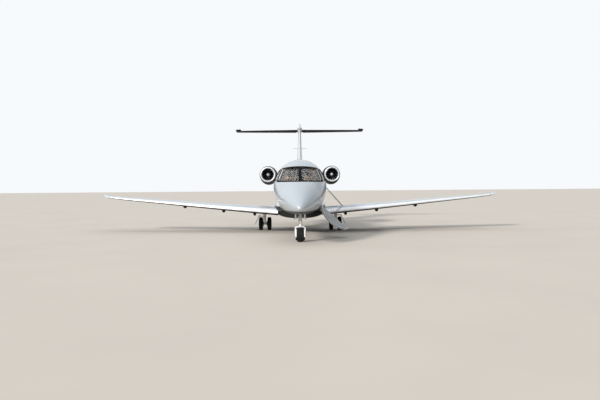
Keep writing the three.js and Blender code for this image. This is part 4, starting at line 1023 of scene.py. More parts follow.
def cockpit_shell():
    shell = above(hull("cockpit_shell", NOSE_JOINT, COCKPIT_END - TOUCH), FLOOR)
    carve(shell, hull("tool", COCKPIT_BULKHEAD, COCKPIT_END + 0.01, WALL - 0.005))
    for side in (1, -1):
        carve(shell, windscreen_tool(side, 0))
        carve(shell, side_window_tool(side, 0))
    dress(shell, HULL_PAINT)
    line_inside(shell, TRIM)
    hang(shell, "airframe", "cockpit_shell")


def cockpit_glass():
    glass = layer(1.2, COCKPIT_END, *PANE)
    band = layer(1.2, COCKPIT_END, -0.0025, 0.03)
    inner = layer(1.2, COCKPIT_END, 0.006, 0.0135)
    for side, name in SIDES:
        for kind, tool, wider in (
            ("windscreen", windscreen_tool, 0.036),
            ("side_window", side_window_tool, 0.022),
        ):
            pane = carve(copy(glass, f"{kind}_{name}"), tool(side, TOUCH), "INTERSECT")
            hang(dress(pane, GLASS), "airframe", f"{kind}_{name}")
            ring = window_band(f"{kind}_frame_{name}", band, tool, wider, 0.006, side)
            hang(dress(ring, FRAME_BLACK), "airframe")
        edge = carve(copy(inner, f"windscreen_edge_{name}"), windscreen_tool(side, 0.002), "INTERSECT")
        rest = move(windscreen_tool(side, -0.03), (-side * 0.078, 0, 0))
        hang(dress(carve(edge, rest), EDGE_GREY), "airframe")
    for source in (glass, band, inner):
        bpy.data.objects.remove(source)


def barrel_shell(name, depth):
    shell = hull(name, COCKPIT_END, CABIN_END)
    return carve(shell, hull("tool", COCKPIT_END - 0.01, CABIN_END + 0.01, depth))


def side_panels():
    shell = below(above(barrel_shell("shell", WALL), FLOOR), EAVES - TOUCH)
    for side, name, first, last, windows in (
        (1, "side_panel_left", STAIR_DOOR_END, CARGO_DOOR_START, LEFT_WINDOWS),
        (-1, "side_panel_right", COCKPIT_END, CABIN_END, RIGHT_WINDOWS),
    ):
        panel = stations(side_of(copy(shell, name), side), first, last - TOUCH)
        for number in windows:
            carve(panel, cabin_window_tool(number, side, 0))
        dress(panel, HULL_PAINT)
        line_inside(panel, TRIM)
        hang(panel, "airframe", name)
    bpy.data.objects.remove(shell)


def roof_panel():
    roof = stations(above(barrel_shell("roof_panel", WALL), EAVES), COCKPIT_END, CABIN_END - TOUCH)
    dress(roof, HULL_PAINT)
    line_inside(roof, TRIM)
    hang(roof, "airframe", "roof_panel")


def cabin_floor_pan():
    pan = below(hull("cabin_floor_pan", COCKPIT_END, CABIN_END - TOUCH), FLOOR - TOUCH)
    dress(pan, HULL_PAINT)
    line_inside(pan, CARPET)
    hang(pan, "airframe", "cabin_floor_pan")


def cabin_windows():
    pane_layer = layer(COCKPIT_END, CABIN_END, 0.008, 0.02)
    liner_layer = layer(COCKPIT_END, CABIN_END, 0.021, WALL + 0.004)
    band_layer = layer(COCKPIT_END, CABIN_END, -0.002, 0.02)
    for side, name, windows in ((1, "left", LEFT_WINDOWS), (-1, "right", RIGHT_WINDOWS)):
        for kind, source, finish_kind, wider, narrower in (
            ("panes", pane_layer, CABIN_GLASS, None, 0.001),
            ("liners", liner_layer, TRIM, -0.001, 0.012),
            ("bands", band_layer, FRAME_BLACK, 0.014, 0.004),
        ):
            made = []
            for number in windows:
                if wider is None:
                    tool = cabin_window_tool(number, side, narrower)
                    piece = carve(copy(source, "pane"), tool, "INTERSECT")
                else:
                    piece = window_band("band", source, cabin_window_tool, wider, narrower, number, side)
                made.append(dress(piece, finish_kind))
            whole = join(f"cabin_window_{kind}_{name}", *made)
            hang(whole, "airframe", *([f"cabin_windows_{name}"] if kind == "panes" else []))
    for source in (pane_layer, liner_layer, band_layer):
        bpy.data.objects.remove(source)


def aft_fuselage():
    rear = hull("aft_fuselage", CABIN_END, TAIL_END)
    outlet = [(-0.16, 0.0), (-0.16, 0.085), (0.01, 0.1), (0.01, 0.0)]
    carve(rear, turned("tool", outlet, (0, station(TAIL_END), 2.45)))
    dress(rear, HULL_PAINT)
    behind = station(15.4)
    dress_faces(rear, DARK_METAL, lambda f: under_skin(f.center) > 0.02 and f.center.y > behind)
    hang(rear, "airframe", "aft_fuselage")


def fairing_solid(name, outset=0.0):
    rings = []
    for where in steps(FAIRING[0][0], FAIRING[-1][0], FAIRING_STEP):
        _, bottom, top, half = between(FAIRING, where)
        low, high = bottom - outset, top + outset
        rings.append(oval(station(where), low, high, (bottom + top) / 2, half + outset, FAIRING_POWER, 96))
    return tube(name, rings)


def belly_fairing():
    fairing = carve(fairing_solid("belly_fairing"), hull("tool", 4.8, 10.8, -SEATING))
    hang(dress(fairing, HULL_PAINT), "airframe", "belly_fairing")


# Wings and tail surfaces

Section = namedtuple("Section", "lead chord thickness camber out")
UP = Vector((0, 0, 1))
ACROSS = Vector((1, 0, 0))
BACK = Vector((0, 1, 0))
SKIN_POINTS = 26
NOSE_STEPS = 10
WING_STEP = 0.26
TAIL_STEP = 0.3
FIN_STEP = 0.2


def half_thickness(share, thickness):
    s = share
    curve_height = 0.2969 * math.sqrt(s) - 0.126 * s - 0.3516 * s**2 + 0.2843 * s**3 - 0.1036 * s**4
    return 5 * thickness * curve_height


def skin_point(section, share, side):
    rise = 4 * section.camber * share * (1 - share) * section.chord
    rise += side * (half_thickness(share, section.thickness) * section.chord + EDGE * share)
    return section.lead + BACK * (share * section.chord) + section.out * rise


def whole_ring(section):
    shares = [0.5 * (1 + math.cos(math.pi * n / SKIN_POINTS)) for n in range(SKIN_POINTS + 1)]
    upper = [skin_point(section, share, 1) for share in shares]
    return upper + [skin_point(section, share, -1) for share in reversed(shares[:-1])]


def tip_rings(section_at, places):
    """Rings that close a tip, each with a share of its section's thickness."""
    sections = [(section_at(place_at), share) for place_at, share in places]
    return [whole_ring(s._replace(thickness=s.thickness * share)) for s, share in sections]


def hinge_point(section, share):
    return (skin_point(section, share, 1) + skin_point(section, share, -1)) / 2


def nose_arc(section, share, extra):
    middle = hinge_point(section, share)
    radius = (skin_point(section, share, 1) - middle).length + extra
    angles = [math.pi * n / NOSE_STEPS for n in range(NOSE_STEPS + 1)]
    return [middle + section.out * (radius * math.cos(a)) - BACK * (radius * math.sin(a)) for a in angles]


def flap_ring(section, share):
    """The part of a section behind its hinge, with a round nose."""
    shares = [share + k * (1 - share) for k in (1, 0.85, 0.7, 0.55, 0.4, 0.25, 0.1)]
    upper = [skin_point(section, s, 1) for s in shares]
    lower = [skin_point(section, s, -1) for s in reversed(shares)]
    return upper + nose_arc(section, share, 0) + lower


def cove_ring(section, share, gap):
    """What is cut from a surface so that such a part fits there."""
    reach = 0.3
    arc = nose_arc(section, share, gap)
    behind = section.chord * (1 - share) + reach
    first, last = arc[0], arc[-1]
    lift = section.out * reach
    return [first + BACK * behind + lift, first + lift, *arc, last - lift, last + BACK * behind - lift]


def wing_section(x, side=1, outset=0.0):
    _, lead, chord, z, thickness = between(WING, x)
    thickness += 2 * outset / chord
    return Section(Vector((side * x, station(lead), z)), chord, thickness, CAMBER, UP)


def wing_solid(name):
    places = [0.9, 1.2] + steps(1.5, 8.0, WING_STEP) + steps(8.0, 8.47, 0.05)[1:]
    tip = tip_rings(wing_section, ((8.485, 0.82), (8.495, 0.5), (8.5, 0.06)))
    return tube(name, [*[whole_ring(wing_section(x)) for x in places], *tip])


def cove(panel, section_at):
    places = steps(panel.first - panel.end, panel.last + panel.end, WING_STEP)
    return tube("tool", [cove_ring(section_at(x), panel.hinge, panel.gap) for x in places])


LEADING_BAND = {"above": 0.055, "below": 0.012}


def looks_down(face):
    return face.normal.z < -0.25


def wing_share(point):
    _, lead, chord, *_ = between(WING, min(max(abs(point.x), 0.9), 8.499))
    return (point.y - station(lead)) / chord


def track_fairing(x):
    """A canoe under the wing that covers a flap track, blunt ahead and drawn out behind."""
    share = wing_section(x).chord / TRACK["chord"]
    middle = skin_point(wing_section(x), 0.78, -1) - Vector((0, 0, 0.105 * share))
    shares = [(-1, 0), (-0.985, 0.18), (-0.93, 0.42), (-0.8, 0.68), (-0.55, 0.9), (-0.2, 1), (0.2, 0.94)]
    shares += [(0.5, 0.74), (0.75, 0.46), (0.92, 0.2), (1, 0)]
    rings = []
    for along, size in smooth(shares, 3):
        y = middle.y + TRACK["half_length"] * share * along
        wide, deep = TRACK["half_width"] * max(size, 0.0), TRACK["depth"] * share * max(size, 0.0)
        rings.append([(x + wide * c, y, middle.z + deep * s) for c, s in circle(24, 0)])
    return tube("track", rings)


def on_leading_band(face):
    reach = LEADING_BAND["below"] if face.normal.z < -0.5 else LEADING_BAND["above"]
    return wing_share(face.center) < reach


def wings():
    blade = wing_solid("wing_left")
    for panel in (AILERON, FLAP):
        carve(blade, cove(panel, wing_section))
    carve(blade, fairing_solid("tool", 0.0006))
    dress(blade, WING_PAINT)
    # The downward faces get painted shade.
    dress_faces(blade, UNDERSIDE_SHADE, looks_down)
    dress_faces(blade, BRIGHT_EDGE, on_leading_band)
    other = mirrored(blade, "wing_right")
    hang(blade, "airframe", "wing_left")
    hang(other, "airframe", "wing_right")

    # The flap track fairings are near-black, painted shade.
    tracks = dress(join("flap_tracks_left", *[track_fairing(x) for x in FLAP_TRACKS]), FRAME_BLACK)
    hang(mirrored(tracks, "flap_tracks_right"), "airframe")
    hang(tracks, "airframe")

    for name, panel in (("aileron", AILERON), ("flap", FLAP)):
        places = steps(panel.first, panel.last, WING_STEP)
        surface = tube(f"{name}_left", [flap_ring(wing_section(x), panel.hinge) for x in places])
        dress(surface, WING_PAINT)
        # The downward faces get painted shade.
        dress_faces(surface, UNDERSIDE_SHADE, looks_down)
        if name == "aileron":
            surface = join("aileron_left", surface, *[wick(wing_section(x)) for x in WICKS["aileron"]])
        for piece, side in ((surface, "left"), (mirrored(surface, f"{name}_right"), "right")):
            node_name = f"{name}_{side}"
            hang(piece, node_name if name == "aileron" else "airframe", node_name)


def fin_section(z, table=FIN):
    _, lead, chord, thickness = between(table, z)
    return Section(Vector((0, station(lead), z)), chord, thickness, 0.0, ACROSS)


def cap_section(z):
    return fin_section(z, FIN_CAP)


def wick(section):
    """A thin rod at the trailing edge that lets static charge go."""
    end = (skin_point(section, 1, 1) + skin_point(section, 1, -1)) / 2
    return dress(rod("wick", end - BACK * 0.02, end + BACK * 0.13, 0.003, 8, end_radius=0.002), PANEL_BLACK)


def rudder_share(z):
    (foot_z, foot_s), (head_z, head_s) = RUDDER_FOOT, RUDDER_HEAD
    _, lead, chord, _ = between(FIN, z)
    return (foot_s + (z - foot_z) / (head_z - foot_z) * (head_s - foot_s) - lead) / chord


def bullet_solid(name, outset=0.0):
    long = LENGTH - BULLET["nose"]
    profile = []
    for n in range(41):
        share = 0.5 * (1 - math.cos(math.pi * n / 40))
        ahead = max(0.0, (BULLET["widest"] - share) / BULLET["widest"])
        behind = max(0.0, (share - BULLET["widest"]) / (1 - BULLET["widest"]))
        fullness = math.sqrt(max(0.0, 1 - ahead**2)) - behind**2.4
        radius = 0.0 if n in (0, 40) else max(0.01, BULLET["radius"] * fullness) + outset
        profile.append((station(BULLET["nose"] + share * long), radius))
    return turned(name, profile, (0, 0, TAIL_HEIGHT), sides=48)


def trimmed(piece, droop=0):
    """Turns a piece about the elevators' hinge line to the tailplane's parked trim."""
    return turn(piece, TAIL_TRIM - droop, "X", (0, station(ELEVATOR["hinge"]), TAIL_HEIGHT))


def tail_section(x, outset=0.0):
    _, lead, chord, thickness = between(TAILPLANE, abs(x))
    thickness += 2 * outset / chord
    return Section(Vector((x, station(lead), TAIL_HEIGHT)), chord, thickness, 0.0, UP)


def tailplane_solid(name, outset=0.0):
    reach = ELEVATOR["horn"] - 0.008
    half = steps(BOOT_START, reach, WING_STEP)
    return tube(name, [whole_ring(tail_section(x, outset)) for x in [*[-x for x in reversed(half)], *half]])


def elevator_share(x):
    _, lead, chord, _ = between(TAILPLANE, abs(x))
    return (ELEVATOR["hinge"] - lead) / chord


def fin():
    blade = tube("fin", [whole_ring(fin_section(z)) for z in steps(2.56, 5.005, FIN_STEP)])
    gaps = RUDDER_GAPS
    places = steps(RUDDER_FOOT[0] - gaps["foot"], RUDDER_HEAD[0] + gaps["head"], FIN_STEP)
    carve(blade, tube("tool", [cove_ring(fin_section(z), rudder_share(z), gaps["nose"]) for z in places]))
    dorsal = prism("tool", [(station(s), z) for s, z in DORSAL], "X", -0.045, 0.045)
    carve(blade, bevel(dorsal, 0.03, 4), "UNION")
    carve(blade, hull("tool", 10.5, TAIL_END, -SEATING))
    carve(blade, bullet_solid("tool", SEATING))
    carve(blade, trimmed(tailplane_solid("tool", SEATING)))
    dress(blade, TAIL_PAINT)
    hang(blade, "airframe", "fin")

    a, b = [station(s) for s in AERIAL["station"]]
    low, high = AERIAL["z"] - 0.005, AERIAL["z"] + 0.005
    rods = [block("rod", (0, a, low), (side * AERIAL["half"], b, high), 0.004) for side in (1, -1)]
    hang(dress(join("rod_aerial", *rods), DARK_METAL), "airframe")


def rudder():
    places = steps(RUDDER_FOOT[0], RUDDER_HEAD[0], FIN_STEP)
    surface = tube("rudder", [flap_ring(fin_section(z), rudder_share(z)) for z in places])
    dress(surface, TAIL_PAINT)
    hang(join("rudder", surface, *[wick(fin_section(z)) for z in WICKS["rudder"]]), "rudder", "rudder")


def tail_share(point):
    _, lead, chord, _ = between(TAILPLANE, min(abs(point.x), 3.5))
    return (point.y - station(lead)) / chord


def tailplane():
    blade = tailplane_solid("tailplane")
    places = steps(ELEVATOR["inner"] - 0.012, ELEVATOR["horn"] + 0.01, TAIL_STEP)
    for side in (1, -1):
        rings = [cove_ring(tail_section(side * x), elevator_share(x), 0.008) for x in places]
        carve(blade, tube("tool", rings))
    dress(blade, TAIL_PAINT)
    # The downward faces get painted shade.
    dress_faces(blade, UNDERSIDE_SHADE, looks_down)
    dress_faces(blade, BOOT, lambda f: tail_share(f.center) < BOOT_SHARE and abs(f.center.x) > BOOT_START)
    hang(trimmed(blade), "airframe", "tailplane")


def tail_bullet():
    body = bullet_solid("tail_bullet")
    rings = [whole_ring(cap_section(z)) for z in (5.06, 5.15, 5.24, 5.3, 5.34, 5.37)]
    rings += tip_rings(cap_section, ((5.385, 0.8), (5.395, 0.5), (5.4, 0.1)))
    carve(body, tube("tool", rings), "UNION")
    carve(body, trimmed(tailplane_solid("tool", SEATING)))
    hang(dress(body, TAIL_PAINT), "airframe", "tail_bullet")


def elevators():
    hinge = (0, station(ELEVATOR["hinge"]), TAIL_HEIGHT)
    inner, horn = ELEVATOR["inner"], ELEVATOR["horn"]
    rings = [flap_ring(tail_section(x), elevator_share(x)) for x in steps(inner, horn + 0.001, TAIL_STEP)]
    surface = tube("elevator_left", rings)
    tip = [whole_ring(tail_section(x)) for x in (horn, 3.34, 3.43, 3.5, 3.53, 3.55)]
    tip += tip_rings(tail_section, ((3.562, 0.8), (3.568, 0.5), (3.57, 0.1)))
    notch = block("tool", (horn - 0.08, hinge[1] - 0.35, 4.9), (horn, hinge[1] + 0.014, 5.2))
    carve(surface, notch)
    carve(surface, tube("tool", tip), "UNION")
    dress(surface, TAIL_PAINT)
    # The downward faces get painted shade.
    dress_faces(surface, UNDERSIDE_SHADE, looks_down)
    dress_faces(surface, BOOT, lambda f: tail_share(f.center) < BOOT_SHARE)
    wicks = [wick(tail_section(x)) for x in WICKS["elevator"]]
    surface = join("elevator_left", surface, *wicks)
    trimmed(surface, ELEVATOR["droop"])
    other = mirrored(surface, "elevator_right")
    hang(surface, "elevator", "elevator_left")
    hang(other, "elevator", "elevator_right")


# Engines


def ease(value, low, high):
    t = min(max((value - low) / (high - low), 0), 1)
    return t * t * (3 - 2 * t)


def engine_centre(side):
    return Vector((side * ENGINE["x"], station(ENGINE["lip"]), ENGINE["z"]))


def duct_radius(along):
    rows = sorted(COWL_DUCT)
    return between(rows, min(max(along, rows[0][0]), rows[-1][0]))[1]


def bulge(piece, centre):
    """Lets the cowl's underside hang lower, over the gearbox below the engine."""
    for vertex in piece.data.vertices:
        at = vertex.co - centre
        if at.z < 0 and math.hypot(at.x, at.z) > duct_radius(at.y) + 0.004:
            growth = ENGINE["bulge"] * ease(at.y, 0.06, 0.7) * (1 - ease(at.y, 1.9, ENGINE["length"]))
            vertex.co.z = centre.z + at.z * (1 + growth)
    return piece


def cowl(side, name):
    centre = engine_centre(side)
    line = smooth([*COWL_DUCT, *COWL_OUTSIDE, (ENGINE["length"], 0.3)], 5)
    shell = bulge(turned(f"nacelle_{name}", [*line, line[0]], centre, sides=96), centre)
    # The nacelle's outside is near-black: painted shade and dark reflections.
    dress(shell, COWL_SHADE_PAINT)

    def inside(face):
        at = face.center - centre
        return math.hypot(at.x, at.z) < duct_radius(at.y) + 0.003

    dress_faces(shell, DUCT, lambda face: inside(face) and face.center.y > centre.y + 0.1)
    dress_faces(shell, BRIGHT_EDGE, lambda face: face.center.y < centre.y + (0.1 if inside(face) else 0.05))
    dress_faces(shell, EXHAUST, lambda face: inside(face) and face.center.y > centre.y + 2.45)
    hang(shell, "airframe", f"nacelle_{name}")


def blade_rings():
    """Rings of one twisted, hollowed fan blade, from its root to its tip."""
    f = FAN
    rings = []
    for k in range(BLADE_RINGS + 1):
        share = k / BLADE_RINGS
        radius = f["root"] + 0.005 + share * (f["tip"] - f["root"] - 0.005)
        twist = math.radians(FAN_PITCH * (0.35 + 0.65 * share))
        chord = f["depth"] * 1.25 * (0.86 + 0.14 * math.sin(math.pi * share))
        ring = []
        for c, s in circle(16, 0):
            y, z = 0.5 * chord * c, 0.0045 * s * (1.4 - 0.7 * share)
            z += 0.012 * (1 - c**2)
            turned_y = y * math.cos(twist) - z * math.sin(twist) + f["face"] + f["depth"] / 2
            turned_z = y * math.sin(twist) + z * math.cos(twist)
            ring.append(Vector((radius, turned_y, turned_z)))
        rings.append(ring)
    return rings


def fan(side, name):
    centre = engine_centre(side)
    f = FAN
    nose = [
        (f["nose"], 0),
        (f["nose"] + 0.012, 0.024),
        (f["nose"] + 0.07, 0.06),
        (f["face"] - 0.03, f["hub"]),
    ]
    profile = [*smooth(nose, 5), (f["face"] - 0.03, 0)]
    spinner = dress(turned(f"spinner_{name}", profile, centre, sides=48), SPINNER_PAINT)
    hub = turned("hub", [(0.35, 0), (0.35, f["hub"]), (0.5, f["hub"] + 0.006), (0.5, 0)], centre, sides=48)
    shaft = rod("shaft", centre + Vector((0, 0.49, 0)), centre + Vector((0, 0.64, 0)), 0.02)
    blades = [dress(hub, FAN_METAL), dress(shaft, FAN_METAL)]
    rings = blade_rings()
    for n in range(FAN_BLADES):
        spin = Matrix.Rotation(TAU * n / FAN_BLADES, 3, "Y")
        blades.append(dress(tube("blade", [[centre + spin @ p for p in ring] for ring in rings]), FAN_METAL))
    whole = join(f"fan_{name}", *blades)
    hang(whole, f"fan_{name}", f"fan_{name}")
    hang(spinner, f"fan_{name}")


def around(centre, count, start, *box):
    """Blocks spread round an engine's axis, the first one a share of a space from its place."""
    made = []
    for n in range(count):
        piece = block(*box)
        spin = Matrix.Rotation(TAU * (n + start) / count, 4, "Y")
        piece.matrix_world = Matrix.Translation(centre) @ spin
        made.append(dress(place(piece), DARK_METAL))
    return made


def engine_core(side, name):
    centre = engine_centre(side)
    profile = [(0.56, 0.022), *smooth(CORE, 5), (2.96, 0.0)]
    bore = [(0.645, 0.0), (0.645, 0.022)]
    body = dress(turned(f"engine_core_{name}", [*bore, *profile], centre, sides=64), DARK_METAL)
    dress_faces(body, EXHAUST, lambda face: face.center.y > centre.y + 1.8)
    struts = around(centre, CORE_STRUTS, 0.5, "strut", (0.1, 0.715, -0.007), (0.32, 0.865, 0.007), 0.006)
    vanes = around(centre, CORE_VANES, 0, "vane", (0.15, 0.56, -0.003), (0.292, 0.63, 0.003), 0.002)
    hang(join(f"engine_core_{name}", body, *struts, *vanes), "airframe", f"engine_core_{name}")


def pylon(side, name):
    def section(x):
        lead = Vector((side * x, station(PYLON["lead"] + (x - 0.6) * 0.25), ENGINE["z"] + 0.02))
        return Section(lead, PYLON["chord"], PYLON["thickness"], 0.0, UP)

    blade = tube(f"pylon_{name}", [whole_ring(section(x)) for x in steps(0.6, 1.4, 0.1)])
    carve(blade, hull("tool", 10.3, 13.5, -SEATING))
    outside = [(0, 0), *COWL_OUTSIDE, (2.86, 0.3), (2.86, 0)]
    body = bulge(turned("tool", outside, engine_centre(side), sides=96), engine_centre(side))
    carve(blade, body)
    # The pylon is near-black, painted shade.
    dress(blade, COWL_SHADE_PAINT)
    hang(blade, "airframe", f"pylon_{name}")


def engines():
    for side, name in SIDES:
        cowl(side, name)
        fan(side, name)
        engine_core(side, name)
        pylon(side, name)


# Landing gear


def tyre_profile(half, outer, bore, grooves, ring=()):
    """A tyre's section round its rim, as distances along the axle and radii."""
    deep = outer - bore
    flank = [(half * 0.62, bore), (half * 0.9, bore + deep * 0.2), (half, bore + deep * 0.5)]
    if ring:
        flank = [(half * 0.62, bore), (half * 0.86, bore + deep * 0.16), *ring]
    shoulder = [
        (half * 0.97, outer - deep * 0.26),
        (half * 0.82, outer - deep * 0.075),
        (half * 0.66, outer - 0.003),
    ]
    right = [*smooth([*flank, *shoulder], 3), (half * 0.6, outer)]
    tread = []
    for groove in grooves:
        tread += [(groove + 0.004, outer), (groove + 0.003, outer - 0.007), (groove - 0.003, outer - 0.007)]
        tread += [(groove - 0.004, outer)]
    left = [(-a, r) for a, r in reversed(right)]
    return [*right, *tread, *left, right[0]]


def tyre(name, centre, half, outer, bore, grooves, ring=()):
    piece = turned(name, tyre_profile(half, outer, bore, grooves, ring), centre, axis="X", sides=72)
    return dress(piece, TYRE)


def wheel(name, centre, half, bore, axle, holes):
    """A split rim with a dished web, a ring of bolts and a hub."""
    seat = bore - 0.001
    lip = half * 0.72
    line = [
        (-lip, seat),
        (-lip, seat - 0.006),
        (-lip * 0.9, seat - 0.012),
        (-half * 0.45, seat - 0.018),
        (-half * 0.3, seat * 0.62),
        (-half * 0.42, seat * 0.42),
        (-half * 0.46, axle + 0.012),
        (-half * 0.46, axle),
    ]
    profile = [*line, *[(-a, r) for a, r in reversed(line)], line[0]]
    rim = dress(turned(name, profile, centre, axis="X", sides=72), GEAR_PAINT)
    bolts = []
    for c, s in circle(holes, 0):
        y, z = c * seat * 0.52, s * seat * 0.52
        for side in (-1, 1):
            a = Vector(centre) + Vector((side * half * 0.3, y, z))
            b = a + Vector((side * half * 0.14, 0, 0))
            bolts.append(dress(rod("bolt", a, b, 0.006, sides=6), STEEL))
    return join(name, rim, *bolts)


def nose_strut(y):
    """The strut with its brace, trunnion, steering and taxi light, which don't turn with the wheel."""
    line = [(0.735, 0.031), (0.735, 0.06), (0.742, 0.066), (0.784, 0.066), (0.79, 0.058), (0.8, 0.054)]
    line += [(0.94, 0.054), (0.945, 0.06), (0.965, 0.06), (0.97, 0.054)]
    line += [(BAY_ROOF - TOUCH, 0.054), (BAY_ROOF - TOUCH, 0.031), (0.735, 0.031)]
    barrel = turned("barrel", line, (0, y, 0), axis="Z", sides=48)
    brace = rod("brace", (0, y - 0.02, 0.86), (0, station(1.3), FLOOR - 0.06), 0.02, edge=0.003)
    low, high = (-0.09, station(1.26), BAY_ROOF - 0.055), (0.09, station(1.33), BAY_ROOF - TOUCH)
    pivot = block("pivot", low, high, 0.006)
    trunnion = rod("trunnion", (-0.174, y, FLOOR - 0.08), (0.174, y, FLOOR - 0.08), 0.028, edge=0.004)
    arm = block("arm", (-0.014, y - 0.11, 0.748), (0.014, y, 0.776), 0.003)
    light = (0, y, NOSE_GEAR["light"])
    line = [(-0.1, 0.0), (-0.1, 0.03), (-0.115, 0.044), (-0.15, 0.052), (-0.165, 0.052), (-0.165, 0.045)]
    housing = turned("housing", [*line, (-0.15, 0.0)], light, sides=32)
    cylinders = []
    for x in (-0.07, 0.07):
        cylinders.append(rod("steering", (x, y - 0.075, 0.83), (x, y + 0.075, 0.83), 0.019, edge=0.003))
    parts = [barrel, brace, pivot, trunnion, arm, housing, *cylinders]
    for part in parts:
        dress(part, GEAR_PAINT)
    hang(join("nose_strut", *parts), "airframe", "nose_strut")
    line = [(-0.151, 0.0), (-0.151, 0.044), (-0.158, 0.044), (-0.166, 0.03), (-0.169, 0.0)]
    hang(dress(turned("taxi_lens", line, light), LENS), "airframe")
    pipes = []
    for line in (
        [(0.045, 0.04, 1.15), (0.075, 0.06, 0.98), (0.07, 0.05, 0.86), (0.06, 0.06, 0.76)],
        [(-0.045, 0.04, 1.15), (-0.08, 0.05, 1.0), (-0.07, 0.03, 0.86)],
    ):
        pipes.append(pipe("line", [(x, y + behind, z) for x, behind, z in line], GEAR_PIPE))
    hang(dress(join("nose_gear_pipes", *pipes), STEEL), "airframe")


def nose_fork(y, axle):
    """What the steering turns: piston, fork, guards, axle and torque link."""
    reach = NOSE_GEAR["fork"]
    piston = dress(rod("piston", (0, y, 0.54), (0, y, 0.89), 0.0302, sides=40), CHROME)
    fork = prism("fork", fork_outline(reach, 0.15, 0.292, axle.z), "Y", axle.y - 0.062, axle.y + 0.044)
    bevel(fork, 0.01, 3, 50)
    neck = block("neck", (-0.044, y - 0.044, 0.5), (0.044, y + 0.06, 0.585), 0.014, 3)
    legs = []
    for side in (-1, 1):
        low = (side * 0.164, axle.y - 0.04, axle.z - 0.034)
        legs.append(block("leg", low, (side * 0.184, axle.y + 0.04, axle.z + 0.15), 0.012, 3))
    parts = [dress(part, GEAR_PAINT) for part in (fork, neck, *legs, *nose_guards(axle))]
    shaft = rod("axle", (-reach, axle.y, axle.z), (reach, axle.y, axle.z), 0.022, edge=0.003)
    nuts = [rod("nut", axle + ACROSS * (s * 0.184), axle + ACROSS * (s * 0.196), 0.03, 6) for s in (-1, 1)]
    for part in (shaft, *nuts):
        dress(part, STEEL)
    rings = []
    for z, behind, half, thick in TORQUE_LINK:
        corners = ((-half, -thick), (half, -thick), (half, thick), (-half, thick))
        rings.append([(x, y + behind + d, z) for x, d in corners])
    link = tube("link", rings)
    dress(bevel(link, 0.003), PANEL_BLACK)
    hang(join("nose_fork", *parts, piston, shaft, *nuts, link), "nose_fork", "nose_fork")


def nose_wheel(axle):
    """A tyre with a chine on both sides, and its rim."""
    g = NOSE_GEAR
    ring = [
        (g["half"] * 0.97, g["bore"] + 0.05),
        (g["chine"] - 0.006, g["bore"] + 0.058),
        (g["chine"], g["bore"] + 0.065),
        (g["chine"] - 0.008, g["bore"] + 0.07),
        (g["half"] * 0.98, g["bore"] + 0.082),
    ]
    rubber = tyre("nose_tyre", axle, g["half"], g["tyre"], g["bore"], (0.04, 0.0, -0.04), ring)
    hang(rubber, "nose_wheel", "nose_tyre")
    hang(wheel("nose_rim", axle, g["half"], g["bore"], g["hub"], 8), "nose_wheel", "nose_rim")


def nose_gear():
    y = station(NOSE_GEAR["station"])
    axle = Vector((0, y + NOSE_GEAR["trail"], NOSE_GEAR["tyre"]))
    nose_strut(y)
    nose_fork(y, axle)
    nose_wheel(axle)


def fork_outline(outer, inner, top, lift):
    """An upside-down U over the nose wheel, with round shoulders."""
    low = -outer
    outside = [(low, 0.06), (low, top - 0.09), (low + 0.012, top - 0.035), (low + 0.05, top - 0.005)]
    outside += [(low + 0.11, top)]
    low = -inner - 0.014
    inside = [(low, 0.06), (low, top - 0.1), (-inner + 0.01, top - 0.055), (-inner + 0.05, top - 0.04)]
    left = [*outside, *[(-x, z) for x, z in reversed(outside)]]
    right = [*[(-x, z) for x, z in inside], *reversed(inside)]
    return [(x, z + lift) for x, z in [*left, *right]]


def nose_guards(axle):
    """Curved guards over both chines of the nose tyre, carried by the fork's legs."""
    angles = [math.radians(a) for a in range(-18, 112, 5)]
    guards = []
    for inner, outer, near, far in ((0.199, 0.206, 0.127, 0.168), (0.15, 0.206, 0.1635, 0.168)):
        outline = [(-outer * math.cos(a), outer * math.sin(a)) for a in angles]
        outline += [(-inner * math.cos(a), inner * math.sin(a)) for a in reversed(angles)]
        outline = [(axle.y + y, axle.z + z) for y, z in outline]
        for side in (-1, 1):
            low, high = sorted((side * near, side * far))
            guards.append(prism("guard", outline, "X", low, high))
    return guards


def nose_doors():
    outline = [(station(1.24), 0.79), (station(2.28), 0.75), (station(2.3), 1.0), (station(1.21), 1.0)]
    for side, name in SIDES:
        low, high = sorted(side * x for x in NOSE_DOOR)
        door = prism(f"nose_gear_door_{name}", rounded(outline, [0.05, 0.05, 0, 0]), "X", low, high)
        carve(door, hull("tool", NOSE_JOINT, COCKPIT_END, -SEATING))
        bevel(door, 0.002)
        dress(door, HULL_PAINT)
        dress_faces(door, GEAR_PAINT, lambda f: f.normal.x * side < -0.9)
        low, high = sorted((side * 0.13, side * 0.1785))
        frames = [
            block("rib", (low, station(s), 0.8), (high, station(s) + 0.03, 0.945), 0.004)
            for s in (1.3, 1.75, 2.2)
        ]
        rail = block("rail", (low, station(1.3), 0.79), (high, station(2.23), 0.806), 0.004)
        frames = [dress(piece, GEAR_PAINT) for piece in (*frames, rail)]
        hang(join(f"nose_gear_door_{name}", door, *frames), "airframe", f"nose_gear_door_{name}")


def main_door_edge(z):
    return MAIN_GEAR["x"] + 0.232 + (0.66 - z) * 0.46


